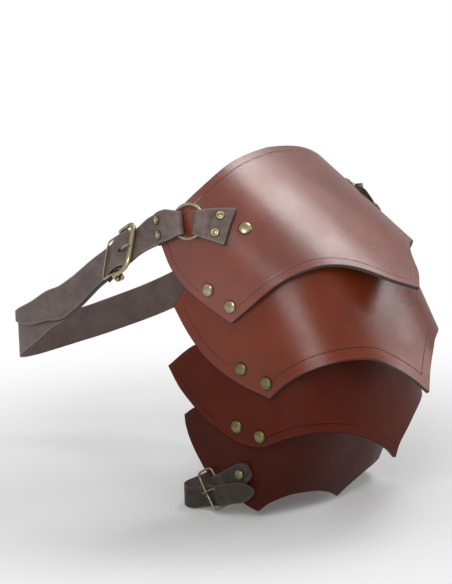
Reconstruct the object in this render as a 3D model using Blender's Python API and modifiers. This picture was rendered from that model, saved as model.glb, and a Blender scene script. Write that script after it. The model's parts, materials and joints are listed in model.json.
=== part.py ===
"""Leather pauldron for a left shoulder, in metres, +Z up.

The wearer faces -Y, so the left arm is towards +X. The origin is under the crest
of the top plate, where the plate rests on the shoulder. Four leather plates hang
one under the other. Each is a curved sheet: its crest runs straight down and
outwards, its section across the crest is an arch, and its front and rear ends are
flat and parallel, where a pair of rivets joins it to the next plate.
"""
import math

import bmesh
import bpy
import numpy as np
from mathutils import Matrix, Vector

OBJECT_NAME = "leather_pauldron"

# Leather stock and fits
PLATE_THICKNESS = 0.0035
PLATE_RUNNING_GAP = 0.0008
SEAT_GAP = 0.0003
CURVED_SEAT_GAP = 0.0006
LEG_GAP = 0.0005
CUT_OVERRUN = 0.002

# Top plate and its place on the shoulder
FIRST_HALF_WIDTH = 0.108
CREST_MOUNT_FROM_CUSP = 0.170

# The first plate. Lengths along run up the crest from the centre cusp, and lengths
# below run from the crest down towards the ends. The rise is the height of the arch.
LAME_1_SLOPE_DEG = 33.7
LAME_1_RISE = 0.060
LAME_1_SECTION_POWER = 2.3
LAME_1_SPAN = 0.177
LAME_1_CREST_LENGTH = 0.199
LAME_1_PIVOT_ALONG = 0.0958
LAME_1_PIVOT_BELOW = 0.0797
LAME_1_GUIDE_ALONG_FROM_PIVOT = 0.0275
LAME_1_GUIDE_BELOW_PIVOT = 0.0038

# The second plate, hung from the first one's pivot rivets
LAME_2_SLOPE_DEG = 60.9
LAME_2_RISE = 0.090
LAME_2_SECTION_POWER = 2.6
LAME_2_SPAN = 0.214
LAME_2_CREST_LENGTH = 0.130
LAME_2_TOP_BELOW_HINGE = 0.0062
LAME_2_HUNG_BELOW = 0.0789
LAME_2_PIVOT_ALONG = 0.0624
LAME_2_PIVOT_BELOW = 0.0800
LAME_2_GUIDE_ALONG_FROM_PIVOT = 0.0214
LAME_2_GUIDE_BELOW_PIVOT = 0.0200

# The third plate, hung from the second one's pivot rivets
LAME_3_SLOPE_DEG = 79.0
LAME_3_RISE = 0.052
LAME_3_SECTION_POWER = 2.2
LAME_3_SPAN = 0.234
LAME_3_CREST_LENGTH = 0.125
LAME_3_TOP_ABOVE_HINGE = 0.0329
LAME_3_HUNG_BELOW = 0.0468
LAME_3_PIVOT_ALONG = 0.0443
LAME_3_PIVOT_BELOW = 0.0683
LAME_3_GUIDE_ALONG_FROM_PIVOT = 0.0099
LAME_3_GUIDE_BELOW_PIVOT = 0.0246

# The fourth plate, hung from the third one's pivot rivets
LAME_4_SLOPE_DEG = 114.0
LAME_4_RISE = 0.048
LAME_4_SECTION_POWER = 2.6
LAME_4_SPAN = 0.198
LAME_4_CREST_LENGTH = 0.095
LAME_4_TOP_ABOVE_HINGE = 0.0273
LAME_4_HUNG_BELOW = 0.0403

# The four plates, from the top one down. The lines of each pattern are shares of its
# span, from the crest to the end, and of its crest length.
PLATES = (
    {
        "name": "lame_1",
        "slope_deg": LAME_1_SLOPE_DEG,
        "rise": LAME_1_RISE,
        "section_power": LAME_1_SECTION_POWER,
        "span": LAME_1_SPAN,
        "crest_length": LAME_1_CREST_LENGTH,
        "upper_shares": ((0.0, 1.0), (0.28, 0.98), (0.55, 0.945), (0.90, 0.965)),
        "side_shares": ((0.90, 0.965), (0.985, 0.82), (1.0, 0.72), (0.99, 0.60), (0.96, 0.437)),
        "arch_shares": ((0.0, -0.01), (0.12, 0.085), (0.18, 0.155), (0.25, 0.22), (0.333, 0.27),
                        (0.525, 0.33), (0.745, 0.377), (0.96, 0.437)),
        "pivot_along": LAME_1_PIVOT_ALONG,
        "pivot_below": LAME_1_PIVOT_BELOW,
        "guide_along": LAME_1_PIVOT_ALONG + LAME_1_GUIDE_ALONG_FROM_PIVOT,
        "guide_below": LAME_1_PIVOT_BELOW + LAME_1_GUIDE_BELOW_PIVOT,
    },
    {
        "name": "lame_2",
        "slope_deg": LAME_2_SLOPE_DEG,
        "rise": LAME_2_RISE,
        "section_power": LAME_2_SECTION_POWER,
        "span": LAME_2_SPAN,
        "crest_length": LAME_2_CREST_LENGTH,
        "upper_shares": ((0.0, 1.0), (0.23, 1.05), (0.47, 1.15), (0.70, 1.27), (0.90, 1.315), (1.0, 1.25)),
        "side_shares": ((1.0, 1.25), (0.985, 1.03), (0.945, 0.815), (0.90, 0.69), (0.836, 0.56),
                        (0.715, 0.377)),
        "arch_shares": ((0.0, 0.0), (0.075, 0.146), (0.154, 0.26), (0.224, 0.338), (0.294, 0.377),
                        (0.397, 0.415), (0.52, 0.43), (0.62, 0.415), (0.715, 0.377)),
        "hung_along": LAME_2_CREST_LENGTH + LAME_2_TOP_BELOW_HINGE,
        "hung_below": LAME_2_HUNG_BELOW,
        "pivot_along": LAME_2_PIVOT_ALONG,
        "pivot_below": LAME_2_PIVOT_BELOW,
        "guide_along": LAME_2_PIVOT_ALONG + LAME_2_GUIDE_ALONG_FROM_PIVOT,
        "guide_below": LAME_2_PIVOT_BELOW + LAME_2_GUIDE_BELOW_PIVOT,
    },
    {
        "name": "lame_3",
        "slope_deg": LAME_3_SLOPE_DEG,
        "rise": LAME_3_RISE,
        "section_power": LAME_3_SECTION_POWER,
        "span": LAME_3_SPAN,
        "crest_length": LAME_3_CREST_LENGTH,
        "upper_shares": ((0.0, 1.0), (0.21, 1.02), (0.43, 1.07), (0.64, 1.10), (0.846, 1.04), (1.0, 0.904)),
        "side_shares": ((1.0, 0.904), (0.96, 0.736), (0.906, 0.60), (0.863, 0.504), (0.786, 0.40),
                        (0.726, 0.328), (0.667, 0.288), (0.59, 0.272)),
        "arch_shares": ((0.0, 0.0), (0.034, 0.072), (0.107, 0.16), (0.218, 0.264), (0.30, 0.312),
                        (0.389, 0.336), (0.487, 0.32), (0.538, 0.296), (0.59, 0.272)),
        "hung_along": LAME_3_CREST_LENGTH - LAME_3_TOP_ABOVE_HINGE,
        "hung_below": LAME_3_HUNG_BELOW,
        "pivot_along": LAME_3_PIVOT_ALONG,
        "pivot_below": LAME_3_PIVOT_BELOW,
        "guide_along": LAME_3_PIVOT_ALONG + LAME_3_GUIDE_ALONG_FROM_PIVOT,
        "guide_below": LAME_3_PIVOT_BELOW + LAME_3_GUIDE_BELOW_PIVOT,
    },
    {
        "name": "lame_4",
        "slope_deg": LAME_4_SLOPE_DEG,
        "rise": LAME_4_RISE,
        "section_power": LAME_4_SECTION_POWER,
        "span": LAME_4_SPAN,
        "crest_length": LAME_4_CREST_LENGTH,
        "upper_shares": ((0.0, 1.0), (0.25, 1.0), (0.50, 0.95), (0.76, 0.79), (0.96, 0.505), (1.0, 0.37)),
        "side_shares": ((1.0, 0.37), (0.975, 0.284), (0.914, 0.158), (0.838, 0.053), (0.79, 0.0),
                        (0.66, -0.04), (0.53, -0.045), (0.47, -0.063)),
        "arch_shares": ((0.0, -0.01), (0.10, 0.105), (0.207, 0.168), (0.333, 0.168), (0.42, 0.074),
                        (0.47, -0.063)),
        "hung_along": LAME_4_CREST_LENGTH - LAME_4_TOP_ABOVE_HINGE,
        "hung_below": LAME_4_HUNG_BELOW,
    },
)
CELLS_ACROSS = 22
CELLS_ALONG = 7
SECTION_SAMPLES = 240
MIRROR_MERGE = 0.0001
SEAM_MERGE = 0.00001

# Rivets. A plate tilts on its pivot rivets, and its guide rivets run in short slots.
RIVET_SHANK_RADIUS = 0.0020
RIVET_HEAD_RADIUS = 0.0062
RIVET_HEAD_HEIGHT = 0.0026
RIVET_CAP_RADIUS = 0.0052
RIVET_CAP_THICKNESS = 0.0009
SMALL_SHANK_RADIUS = 0.0014
SMALL_HEAD_RADIUS = 0.0042
SMALL_HEAD_HEIGHT = 0.0016
SMALL_CAP_RADIUS = 0.0036
DOME_SHARES = ((0.0, 1.0), (0.55, 0.82), (0.90, 0.42), (1.0, 0.0))
ROLLED_RIM_SHARES = ((0.0, 0.45), (0.36, 0.50), (0.62, 1.0), (0.93, 0.55), (1.0, 0.0))
RAISE_LIMIT_DEG = 12.0
TUCK_LIMIT_DEG = 5.0
SLOT_SPARE_DEG = 1.5
ROUND_STEPS = 12
HOLE_STEPS = 16
LEG_CELLS = 4
BEND_STEPS = 5
NOSE_STEPS = 8
STRIP_CELLS = 4
CORNER_STEPS = 5
WIRE_BEND_STEPS = 2
RING_SEGMENTS = 32
RING_WIRE_SEGMENTS = 8

# Straps, rings and the tabs on the top plate
STRAP_THICKNESS = 0.0022
STRAP_HALF_WIDTH = 0.0170
RIVETED_HALF_WIDTH = 0.0140
WAIST_HALF_WIDTH = 0.0107
RING_RADIUS = 0.0152
RING_WIRE_RADIUS = 0.0014
FRONT_RING_ACROSS = 0.1230
FRONT_RING_ALONG = 0.1720
REAR_RING_ALONG = 0.1590
TAB_LENGTH = 0.0388
TAB_END_HALF_WIDTH = 0.0172
TAB_TURN_DEG = 32.7
TAB_RIVET_FROM_RING = 0.0280
TAB_RIVET_HALF_SPACING = 0.0074
TAB_MERGE_LENGTH = 0.0082
TAB_WRAP_LENGTH = 0.0055
LARGE_RIVET_ACROSS = 0.0940
LARGE_RIVET_ALONG = 0.1300

# Chest strap: its way round the body, seen from above a straight, half an ellipse and
# a straight. Rows give the share of the way to the far side, the share of the drop,
# and the lean back of the strap on the slope of the chest.
CHEST_STRAIGHT = 0.103
CHEST_ROUND_REACH = 0.192
CHEST_DROP = 0.166
CHEST_LEAN_DEG = 40.0
PIN_FROM_RING = 0.0788
STRAP_ROW_LENGTH = 0.0130
BUCKLE_ROWS = 24
RING_FLAT_LENGTH = 0.0215
REAR_FLAT_LENGTH = 0.0345
REAR_BLEND_LENGTH = 0.0320
RING_SLANT_DEG = 15.0
BUCKLE_FLAT_LENGTH = 0.0230
FLAT_BLEND_LENGTH = 0.0170
FAR_DROP_SHARES = ((0.0, 0.0), (0.062, 0.041), (0.118, 0.086), (0.168, 0.152), (0.210, 0.213),
                   (0.252, 0.272), (0.303, 0.340), (0.353, 0.418), (0.404, 0.495), (0.462, 0.571),
                   (0.532, 0.640), (0.580, 0.700), (0.672, 0.800), (0.745, 0.865), (0.860, 0.950),
                   (1.0, 1.0), (1.14, 0.950))
BILLET_DROP_SHARES = ((0.404, 0.495), (0.462, 0.565), (0.532, 0.608), (0.616, 0.675), (0.745, 0.745),
                      (0.860, 0.800))
LEAN_SHARES = ((0.0, 0.25), (0.084, 0.35), (0.168, 0.80), (0.235, 1.0), (0.308, 0.95), (0.42, 0.60),
               (0.532, 0.35), (0.672, 0.15), (0.812, 0.0), (1.0, 0.0), (1.5, 0.0), (1.9, 0.20), (2.2, 0.25))
FOLD_LEG_LENGTH = 0.0230
FOLD_MERGE_LENGTH = 0.0086
FOLD_RIVET_FROM_RING = 0.0295
FOLD_RIVET_HALF_SPACING = 0.0068
BILLET_LENGTH_SHARE = 0.81
BILLET_TAPER_START_SHARE = 0.46
BILLET_TIP_HALF_WIDTH = 0.0050
STRAP_HOLE_RADIUS = 0.0020
STRAP_HOLE_FROM_RING = 0.144

# Chest buckle: frame, prong and wire keeper hook round one pin, turned on the strap
BUCKLE_TURN_DEG = 12.0
PIN_RADIUS = 0.0016
PIN_HALF_LENGTH = 0.0250
PIN_END_RADIUS = 0.0026
PIN_END_LENGTH = 0.0024
PIN_END_SHARES = ((0.0, 1.0), (0.70, 0.85), (1.0, 0.50), (1.0, 0.0))
HOOK_TURN_DEG = 262.0
FRAME_WIRE_RADIUS = 0.0019
FRAME_BAR_THICKER_SHARE = 1.32
FRAME_HALF_LENGTH = 0.0226
FRAME_REACH = 0.0195
FRAME_CORNER = 0.0090
PRONG_RADIUS = 0.0012
PRONG_OVERHANG = 0.0035
PRONG_REACH_SHARES = (0.16, 0.32, 0.50, 0.70, 0.86, 1.0)
PRONG_RISE_START_SHARE = 0.08
PRONG_RISE_SHARE = 0.70
PRONG_TIP_SHARE = 0.6
KEEPER_WIRE_RADIUS = 0.0009
KEEPER_SPARE = 0.0013
KEEPER_REACH = 0.0180
KEEPER_CORNER = 0.0025
BILLET_RISE_START = 0.0160
BILLET_RISE_END = 0.0030
PIN_MERGE_LENGTH = 0.0115
BILLET_HOLE_NEAR = 0.0012
BILLET_HOLE_FAR = 0.0108
BILLET_HOLE_WIDTH = 0.0038
FOLD_SLOT_WIDTH = 0.0036

# Arm strap and its buckle on the lowest plate, at its flat front and rear ends
ARM_STRAP_THICKNESS = 0.0020
ARM_STRAP_HALF_WIDTH = 0.0096
ARM_RIVET_ALONG = 0.0223
ARM_RIVET_BELOW = 0.0464
ARM_RIVET_HEAD_RADIUS = 0.0050
ARM_RIVET_CAP_RADIUS = 0.0042
ARM_TAB_SLOPE_DEG = 31.0
ARM_TAB_LENGTH = 0.0290
ARM_TAB_END_LENGTH = 0.0110
ARM_TAB_HALF_WIDTH = 0.0098
END_ROUNDING_SHARE = 0.75
ARM_MERGE_LENGTH = 0.0090
ARM_WIRE_RADIUS = 0.0011
ARM_PRONG_RADIUS = 0.0009
ARM_FRAME_REACH = 0.0150
ARM_FRAME_HALF_LENGTH = 0.0184
ARM_FRAME_CORNER = 0.0035
ARM_STRAP_SLOPE_DEG = 16.0
ARM_STRAP_DROP = 0.0158
ARM_TAIL_LENGTH = 0.0480
ARM_TIP_LENGTH = 0.0180
ARM_TIP_HALF_WIDTH = 0.0020
ARM_LOOP_REACH = 0.0770
ARM_LOOP_CORNER = 0.0180
ARM_LOOP_SAG = 0.0030
ARM_OFF_PLATE_HEIGHT = 0.0014
ARM_UNDER_BAR_HEIGHT = 0.0042
ARM_HOLE_LENGTH = 0.0080
ARM_HOLE_WIDTH = 0.0030
ARM_ROUND_HOLE_RADIUS = 0.0015
ARM_ROUND_HOLE_SPACING = 0.0180
ARM_HOLE_COUNT = 2
ARM_ROWS = (5, 30, 26, 8)

LEATHER_ROUGHNESS = 0.38
STRAP_ROUGHNESS = 0.62
BRASS_ROUGHNESS = 0.36
PLATE_COLOURS = ((0.235, 0.050, 0.026), (0.150, 0.034, 0.020), (0.105, 0.026, 0.018), (0.085, 0.023, 0.016))
STRAP_COLOUR = (0.105, 0.078, 0.070)
BRASS_COLOUR = (0.52, 0.46, 0.26)
AGED_BRASS_COLOUR = (0.30, 0.27, 0.15)

FRONT = -1.0
REAR = 1.0


def clear_scene():
    """Empty the file, as the part starts from nothing."""
    for item in list(bpy.data.objects):
        bpy.data.objects.remove(item, do_unlink=True)


def new_collection(name):
    """A collection under the scene's own."""
    made = bpy.data.collections.new(name)
    bpy.context.scene.collection.children.link(made)
    return made


def new_material(name, colour, roughness, metallic):
    """A plain Principled material."""
    made = bpy.data.materials.new(name)
    made.use_nodes = True
    shader = made.node_tree.nodes["Principled BSDF"]
    shader.inputs["Base Color"].default_value = (*colour, 1.0)
    shader.inputs["Roughness"].default_value = roughness
    shader.inputs["Metallic"].default_value = metallic
    return made


def plate_material(name, colour):
    return new_material(name + "_leather", colour, LEATHER_ROUGHNESS, 0.0)


def strap_material(name):
    return new_material(name + "_leather", STRAP_COLOUR, STRAP_ROUGHNESS, 0.0)


def brass_material(name, colour):
    return new_material(name + "_brass", colour, BRASS_ROUGHNESS, 1.0)


def link_object(name, mesh, collection, material=None):
    """A mesh object in a collection, with its own material."""
    made = bpy.data.objects.new(name, mesh)
    collection.objects.link(made)
    if material is not None:
        mesh.materials.append(material)
    return made


def smooth_through(points, shares):
    """Places at the given shares of the length of a smooth curve through points."""
    points = np.array(points, dtype=float)
    steps = np.linalg.norm(np.diff(points, axis=0), axis=1)
    knots = np.concatenate([[0.0], np.cumsum(steps)])
    slopes = np.gradient(points, knots, axis=0)
    wanted = np.clip(np.asarray(shares, dtype=float), 0.0, 1.0) * knots[-1]
    cell = np.clip(np.searchsorted(knots, wanted, side="right") - 1, 0, len(steps) - 1)
    size = steps[cell][:, None]
    part = ((wanted - knots[cell]) / steps[cell])[:, None]
    start, end = points[cell], points[cell + 1]
    leave, reach = slopes[cell] * size, slopes[cell + 1] * size
    return ((2 * part**3 - 3 * part**2 + 1) * start + (part**3 - 2 * part**2 + part) * leave
            + (3 * part**2 - 2 * part**3) * end + (part**3 - part**2) * reach)


def ease(share):
    """A smooth step from 0 to 1."""
    share = np.clip(share, 0.0, 1.0)
    return share * share * (3.0 - 2.0 * share)


def unit(vector):
    vector = np.asarray(vector, dtype=float)
    return vector / np.linalg.norm(vector, axis=-1, keepdims=True)


class Plate:
    """The surface of one plate: where it lies, and how its pattern wraps on it."""

    def __init__(self, sizes, half_width, cusp=None, hung_from=None):
        self.sizes = sizes
        self.half_width = half_width
        self.hinge = np.zeros(3) if hung_from is None else hung_from
        slope = math.radians(sizes["slope_deg"])
        self.down = np.array([math.cos(slope), 0.0, -math.sin(slope)])
        self.out = np.array([math.sin(slope), 0.0, math.cos(slope)])
        if hung_from is not None:
            cusp = hung_from + self.down * sizes["hung_along"] + self.out * sizes["hung_below"]
        else:
            cusp = self.out * PLATE_THICKNESS + self.down * CREST_MOUNT_FROM_CUSP
        self.cusp = cusp
        self._measure_section()

    def _measure_section(self):
        """Tabulate the arch: a superellipse quarter, which ends in a straight leg."""
        power = 2.0 / self.sizes["section_power"]
        turn = np.linspace(0.0, math.pi / 2, SECTION_SAMPLES)
        self.arc_across = self.half_width * np.sin(turn) ** power
        self.arc_below = self.sizes["rise"] * (1.0 - np.cos(turn) ** power)
        steps = np.hypot(np.diff(self.arc_across), np.diff(self.arc_below))
        self.arc = np.concatenate([[0.0], np.cumsum(steps)])

    def section(self, arc):
        """Distance to the side and below the crest at an arc length from the crest."""
        arc = np.asarray(arc, dtype=float)
        aside = np.where(arc < self.arc[-1], np.interp(arc, self.arc, self.arc_across), self.half_width)
        leg = self.sizes["rise"] + arc - self.arc[-1]
        below = np.where(arc < self.arc[-1], np.interp(arc, self.arc, self.arc_below), leg)
        return aside, below

    def place(self, arc, along, height=0.0, side=FRONT):
        """World place of a pattern point, raised off the outer face by height."""
        arc = np.asarray(arc, dtype=float)
        along = np.asarray(along, dtype=float)
        aside, below = self.section(arc)
        face = (self.cusp - along[..., None] * self.down - below[..., None] * self.out
                + side * aside[..., None] * np.array([0.0, 1.0, 0.0]))
        return face + np.asarray(height)[..., None] * self.normal(arc, side)

    def normal(self, arc, side=FRONT):
        """Outward normal of the outer face at an arc length."""
        arc = np.asarray(arc, dtype=float)
        reach = PLATE_THICKNESS
        near = np.maximum(arc - reach, 0.0)
        aside_near, below_near = self.section(near)
        aside_far, below_far = self.section(arc + reach)
        rise = (below_far - below_near)[..., None]
        run = (aside_far - aside_near)[..., None]
        return unit(rise * side * np.array([0.0, 1.0, 0.0]) + run * self.out)

    def inner_aside(self, place, spare):
        """How far aside the inner face is, at the lowest side within spare of a place."""
        below = -np.dot(place - self.cusp, self.out) - spare
        return np.interp(below, self.arc_below, self.arc_across) - PLATE_THICKNESS

    def end_place(self, along, below, side=FRONT):
        """World place on the flat end of the plate's outer face."""
        middle = self.cusp - along * self.down - below * self.out
        return middle + side * self.half_width * np.array([0.0, 1.0, 0.0])


def chain_plates():
    """Hang each plate on the pivot of the one above, one leather thickness inside it."""
    made = []
    half_width = FIRST_HALF_WIDTH
    hung_from = None
    for sizes in PLATES:
        plate = Plate(sizes, half_width, hung_from=hung_from)
        made.append(plate)
        if "pivot_along" in sizes:
            hung_from = plate.end_place(sizes["pivot_along"], sizes["pivot_below"], 0.0)
        half_width -= PLATE_THICKNESS + PLATE_RUNNING_GAP
    return made


def plate_pattern(sizes):
    """Half of the flat pattern as a patch between its upper, side, arch and crest lines."""
    across = np.linspace(0.0, 1.0, CELLS_ACROSS + 1)
    down = np.linspace(0.0, 1.0, CELLS_ALONG + 1)
    upper = smooth_through(sizes["upper_shares"], across)[:, None, :]
    arch = smooth_through(sizes["arch_shares"], across)[:, None, :]
    side = smooth_through(sizes["side_shares"], down)[None, :, :]
    crest = upper[0] + (arch[0] - upper[0]) * down[:, None]
    across = across[:, None, None]
    down = down[None, :, None]
    corners = ((1 - across) * (1 - down) * upper[0] + across * (1 - down) * upper[-1]
               + (1 - across) * down * arch[0] + across * down * arch[-1])
    patch = (1 - down) * upper + down * arch + (1 - across) * crest[None] + across * side - corners
    return patch[..., 0] * sizes["span"], patch[..., 1] * sizes["crest_length"]


def grid_mesh(name, places):
    """A grid whose vertices are moved to the given places, rows by columns."""
    rows, columns = places.shape[:2]
    shape = bmesh.new()
    bmesh.ops.create_grid(shape, x_segments=rows - 1, y_segments=columns - 1, size=0.5)
    for vertex in shape.verts:
        row = round((vertex.co.x + 0.5) * (rows - 1))
        column = round((vertex.co.y + 0.5) * (columns - 1))
        vertex.co = Vector(places[row, column])
    made = bpy.data.meshes.new(name)
    shape.to_mesh(made)
    shape.free()
    return made


def add_plate(plate, collection, colour):
    """One plate: half its outer face, mirrored, then thickened inwards. Its origin is on its hinge."""
    name = plate.sizes["name"]
    arc, along = plate_pattern(plate.sizes)
    arc[0, :] = 0.0
    mesh = grid_mesh(name, plate.place(arc, along, side=FRONT) - plate.hinge)
    made = link_object(name, mesh, collection, plate_material(name, colour))
    made.location = Vector(plate.hinge)
    mirror = made.modifiers.new("rear_half", "MIRROR")
    mirror.use_axis = (False, True, False)
    mirror.use_clip = True
    mirror.merge_threshold = MIRROR_MERGE
    shell = made.modifiers.new("leather", "SOLIDIFY")
    shell.thickness = PLATE_THICKNESS
    shell.offset = -1.0
    shell.use_even_offset = True
    return made


def cut(target, cutter):
    """Take a cutter out of a target."""
    tool = target.modifiers.new(cutter.name, "BOOLEAN")
    tool.operation = "DIFFERENCE"
    tool.solver = "EXACT"
    tool.object = cutter


def mark_cutter(made):
    made.hide_render = True
    made.display_type = "WIRE"
    return made


def cylinder_cutter(name, radius, half_length, centre, axis, cutters):
    """A round cutter along an axis."""
    shape = bmesh.new()
    bmesh.ops.create_cone(shape, cap_ends=True, segments=HOLE_STEPS, radius1=radius, radius2=radius,
                          depth=2 * half_length)
    mesh = bpy.data.meshes.new(name)
    shape.to_mesh(mesh)
    shape.free()
    made = link_object(name, mesh, cutters)
    made.rotation_euler = Vector(axis).to_track_quat("Z", "Y").to_euler()
    made.location = Vector(centre)
    return mark_cutter(made)


def box_cutter(name, sizes, frame, cutters):
    """A box cutter in a frame."""
    shape = bmesh.new()
    bmesh.ops.create_cube(shape, size=1.0, matrix=Matrix.Diagonal((*sizes, 1.0)))
    mesh = bpy.data.meshes.new(name)
    shape.to_mesh(mesh)
    shape.free()
    made = link_object(name, mesh, cutters)
    made.matrix_world = frame
    return mark_cutter(made)


def mesh_from_curve(name, curve, collection, material=None, matrix=None):
    """Turn a curve into a welded mesh object, so that it can cut or be cut."""
    guide = bpy.data.objects.new(name + "_curve", curve)
    collection.objects.link(guide)
    if matrix is not None:
        guide.matrix_world = matrix
    bpy.context.view_layer.update()
    evaluated = guide.evaluated_get(bpy.context.evaluated_depsgraph_get())
    mesh = bpy.data.meshes.new_from_object(evaluated)
    mesh.name = name
    shape = bmesh.new()
    shape.from_mesh(mesh)
    bmesh.ops.remove_doubles(shape, verts=shape.verts, dist=SEAM_MERGE)
    bmesh.ops.recalc_face_normals(shape, faces=shape.faces)
    shape.to_mesh(mesh)
    shape.free()
    mesh.materials.clear()
    made = link_object(name, mesh, collection, material)
    made.matrix_world = guide.matrix_world.copy()
    bpy.data.objects.remove(guide, do_unlink=True)
    return made


def slot_cutter(name, pivot, guide, half_width, cutters):
    """A curved slot round the pivot, as long as the plate's tilt needs."""
    arm = guide - pivot
    radius = np.hypot(arm[0], arm[2])
    rest = math.atan2(arm[2], arm[0])
    low = rest - math.radians(RAISE_LIMIT_DEG + SLOT_SPARE_DEG)
    high = rest + math.radians(TUCK_LIMIT_DEG + SLOT_SPARE_DEG)
    wide = RIVET_SHANK_RADIUS + SEAT_GAP
    outline = []
    for turn in np.linspace(low, high, HOLE_STEPS // 2):
        outline.append((turn, radius + wide, 0.0))
    for turn in np.linspace(0.0, math.pi, HOLE_STEPS // 2)[1:-1]:
        outline.append((high, radius + wide * math.cos(turn), wide * math.sin(turn)))
    for turn in np.linspace(high, low, HOLE_STEPS // 2):
        outline.append((turn, radius - wide, 0.0))
    for turn in np.linspace(math.pi, 0.0, HOLE_STEPS // 2)[1:-1]:
        outline.append((low, radius + wide * math.cos(turn), -wide * math.sin(turn)))
    curve = bpy.data.curves.new(name, "CURVE")
    curve.dimensions = "2D"
    curve.fill_mode = "BOTH"
    curve.extrude = half_width
    spline = curve.splines.new("POLY")
    spline.points.add(len(outline) - 1)
    spline.use_cyclic_u = True
    for point, (turn, reach, beyond) in zip(spline.points, outline):
        x = reach * math.cos(turn) - beyond * math.sin(turn)
        y = reach * math.sin(turn) + beyond * math.cos(turn)
        point.co = (x, y, 0.0, 1.0)
    turned = Matrix.Rotation(math.pi / 2, 4, "X")
    placed = Matrix.Translation(Vector((pivot[0], 0.0, pivot[2]))) @ turned
    return mark_cutter(mesh_from_curve(name, curve, cutters, matrix=placed))


def turned_mesh(name, profile):
    """A mesh line, from its top axis point down to its lower one, for a Screw to turn."""
    made = bpy.data.meshes.new(name)
    points = [(radius, 0.0, height) for radius, height in profile]
    made.from_pydata(points, [(k, k + 1) for k in range(len(points) - 1)], [])
    return made


def add_turned(name, profile, place, outward, collection, material):
    """A turned piece whose own +Z points outward from its place."""
    made = link_object(name, turned_mesh(name, profile), collection, material)
    screw = made.modifiers.new("turn", "SCREW")
    screw.steps = ROUND_STEPS
    screw.render_steps = ROUND_STEPS
    screw.use_merge_vertices = True
    screw.merge_threshold = SEAM_MERGE
    screw.use_smooth_shade = True
    made.rotation_euler = Vector(outward).to_track_quat("Z", "Y").to_euler()
    made.location = Vector(place)
    return made


def headed_profile(shares, head, tall, shank, grip, cap):
    """A head given by shares of its radius and height, a shank through the grip, and a cap."""
    under = -grip - SEAT_GAP
    top = [(across * head, SEAT_GAP + up * tall) for across, up in shares]
    return (*top, (shank, SEAT_GAP), (shank, under), (cap, under), (cap, under - RIVET_CAP_THICKNESS),
            (0.0, under - RIVET_CAP_THICKNESS))


def rivet_profile(grip, head=RIVET_HEAD_RADIUS, cap=RIVET_CAP_RADIUS):
    """Domed head, shank through the grip, and flat cap inside."""
    return headed_profile(DOME_SHARES, head, RIVET_HEAD_HEIGHT, RIVET_SHANK_RADIUS, grip, cap)


def small_rivet_profile(grip):
    """Tubular rivet: a rolled rim round a dimple, shank and small cap."""
    return headed_profile(ROLLED_RIM_SHARES, SMALL_HEAD_RADIUS, SMALL_HEAD_HEIGHT, SMALL_SHANK_RADIUS,
                          grip, SMALL_CAP_RADIUS)


def join_plates(plates, shells, collection, cutters):
    """Rivet each plate to the next at its front and rear ends."""
    for upper, lower, upper_shell, lower_shell in zip(plates, plates[1:], shells, shells[1:]):
        sizes = upper.sizes
        pair = upper.sizes["name"][-1] + lower.sizes["name"][-1]
        reach = upper.half_width + CUT_OVERRUN
        middles = {}
        for kind in ("pivot", "guide"):
            middle = upper.end_place(sizes[kind + "_along"], sizes[kind + "_below"], 0.0)
            middles[kind] = middle
            grip = upper.half_width - lower.inner_aside(middle, RIVET_CAP_RADIUS) + CURVED_SEAT_GAP
            hole = cylinder_cutter(f"{kind}_hole_{pair}", RIVET_SHANK_RADIUS + SEAT_GAP, reach, middle,
                                   (0.0, 1.0, 0.0), cutters)
            cut(upper_shell, hole)
            if kind == "pivot":
                cut(lower_shell, hole)
            for end, side in (("front", FRONT), ("rear", REAR)):
                place = middle + side * upper.half_width * np.array([0.0, 1.0, 0.0])
                add_turned(f"{end}_{kind}_rivet_{pair}", rivet_profile(grip), place, (0.0, side, 0.0),
                           collection, brass_material(f"{end}_{kind}_rivet_{pair}", BRASS_COLOUR))
        cut(lower_shell, slot_cutter(f"guide_slot_{pair}", middles["pivot"], middles["guide"], reach, cutters))


def band_object(name, places, thickness, collection, material, origin=(0.0, 0.0, 0.0)):
    """A strip of leather: an open surface of rows along it, thickened to both sides."""
    made = link_object(name, grid_mesh(name, places - np.array(origin)), collection, material)
    made.location = Vector(origin)
    shell = made.modifiers.new("leather", "SOLIDIFY")
    shell.thickness = thickness
    shell.offset = 0.0
    shell.use_even_offset = True
    return made


def fold_line(wire_height, clear_radius, inner, outer, nose, merge, leg, cells):
    """Side view of a strip folded round a wire: the run and height of its middle.

    Runs are measured from the wire. The nose of the fold reaches past the wire by
    nose, and the two legs close up between a wire radius and the merge length.
    """
    open_run = clear_radius
    low, high = wire_height - clear_radius, wire_height + clear_radius
    back = np.linspace(merge, open_run, BEND_STEPS)
    share = (back - open_run) / (merge - open_run)
    inner_rows = np.linspace(leg, merge, cells + 1)[:-1]
    outer_rows = np.linspace(merge, leg, cells + 1)[1:]
    runs = [*inner_rows, *back]
    heights = [*(0.0 * inner_rows + inner), *(low + (inner - low) * ease(share))]
    for turn in np.linspace(-math.pi / 2, -3 * math.pi / 2, NOSE_STEPS):
        runs.append(-nose + clear_radius * math.cos(turn))
        heights.append(wire_height + clear_radius * math.sin(turn))
    runs += [*back[::-1], *outer_rows]
    heights += [*(high + (outer - high) * ease(share[::-1])), *(0.0 * outer_rows + outer)]
    return np.array(runs), np.array(heights)


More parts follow.
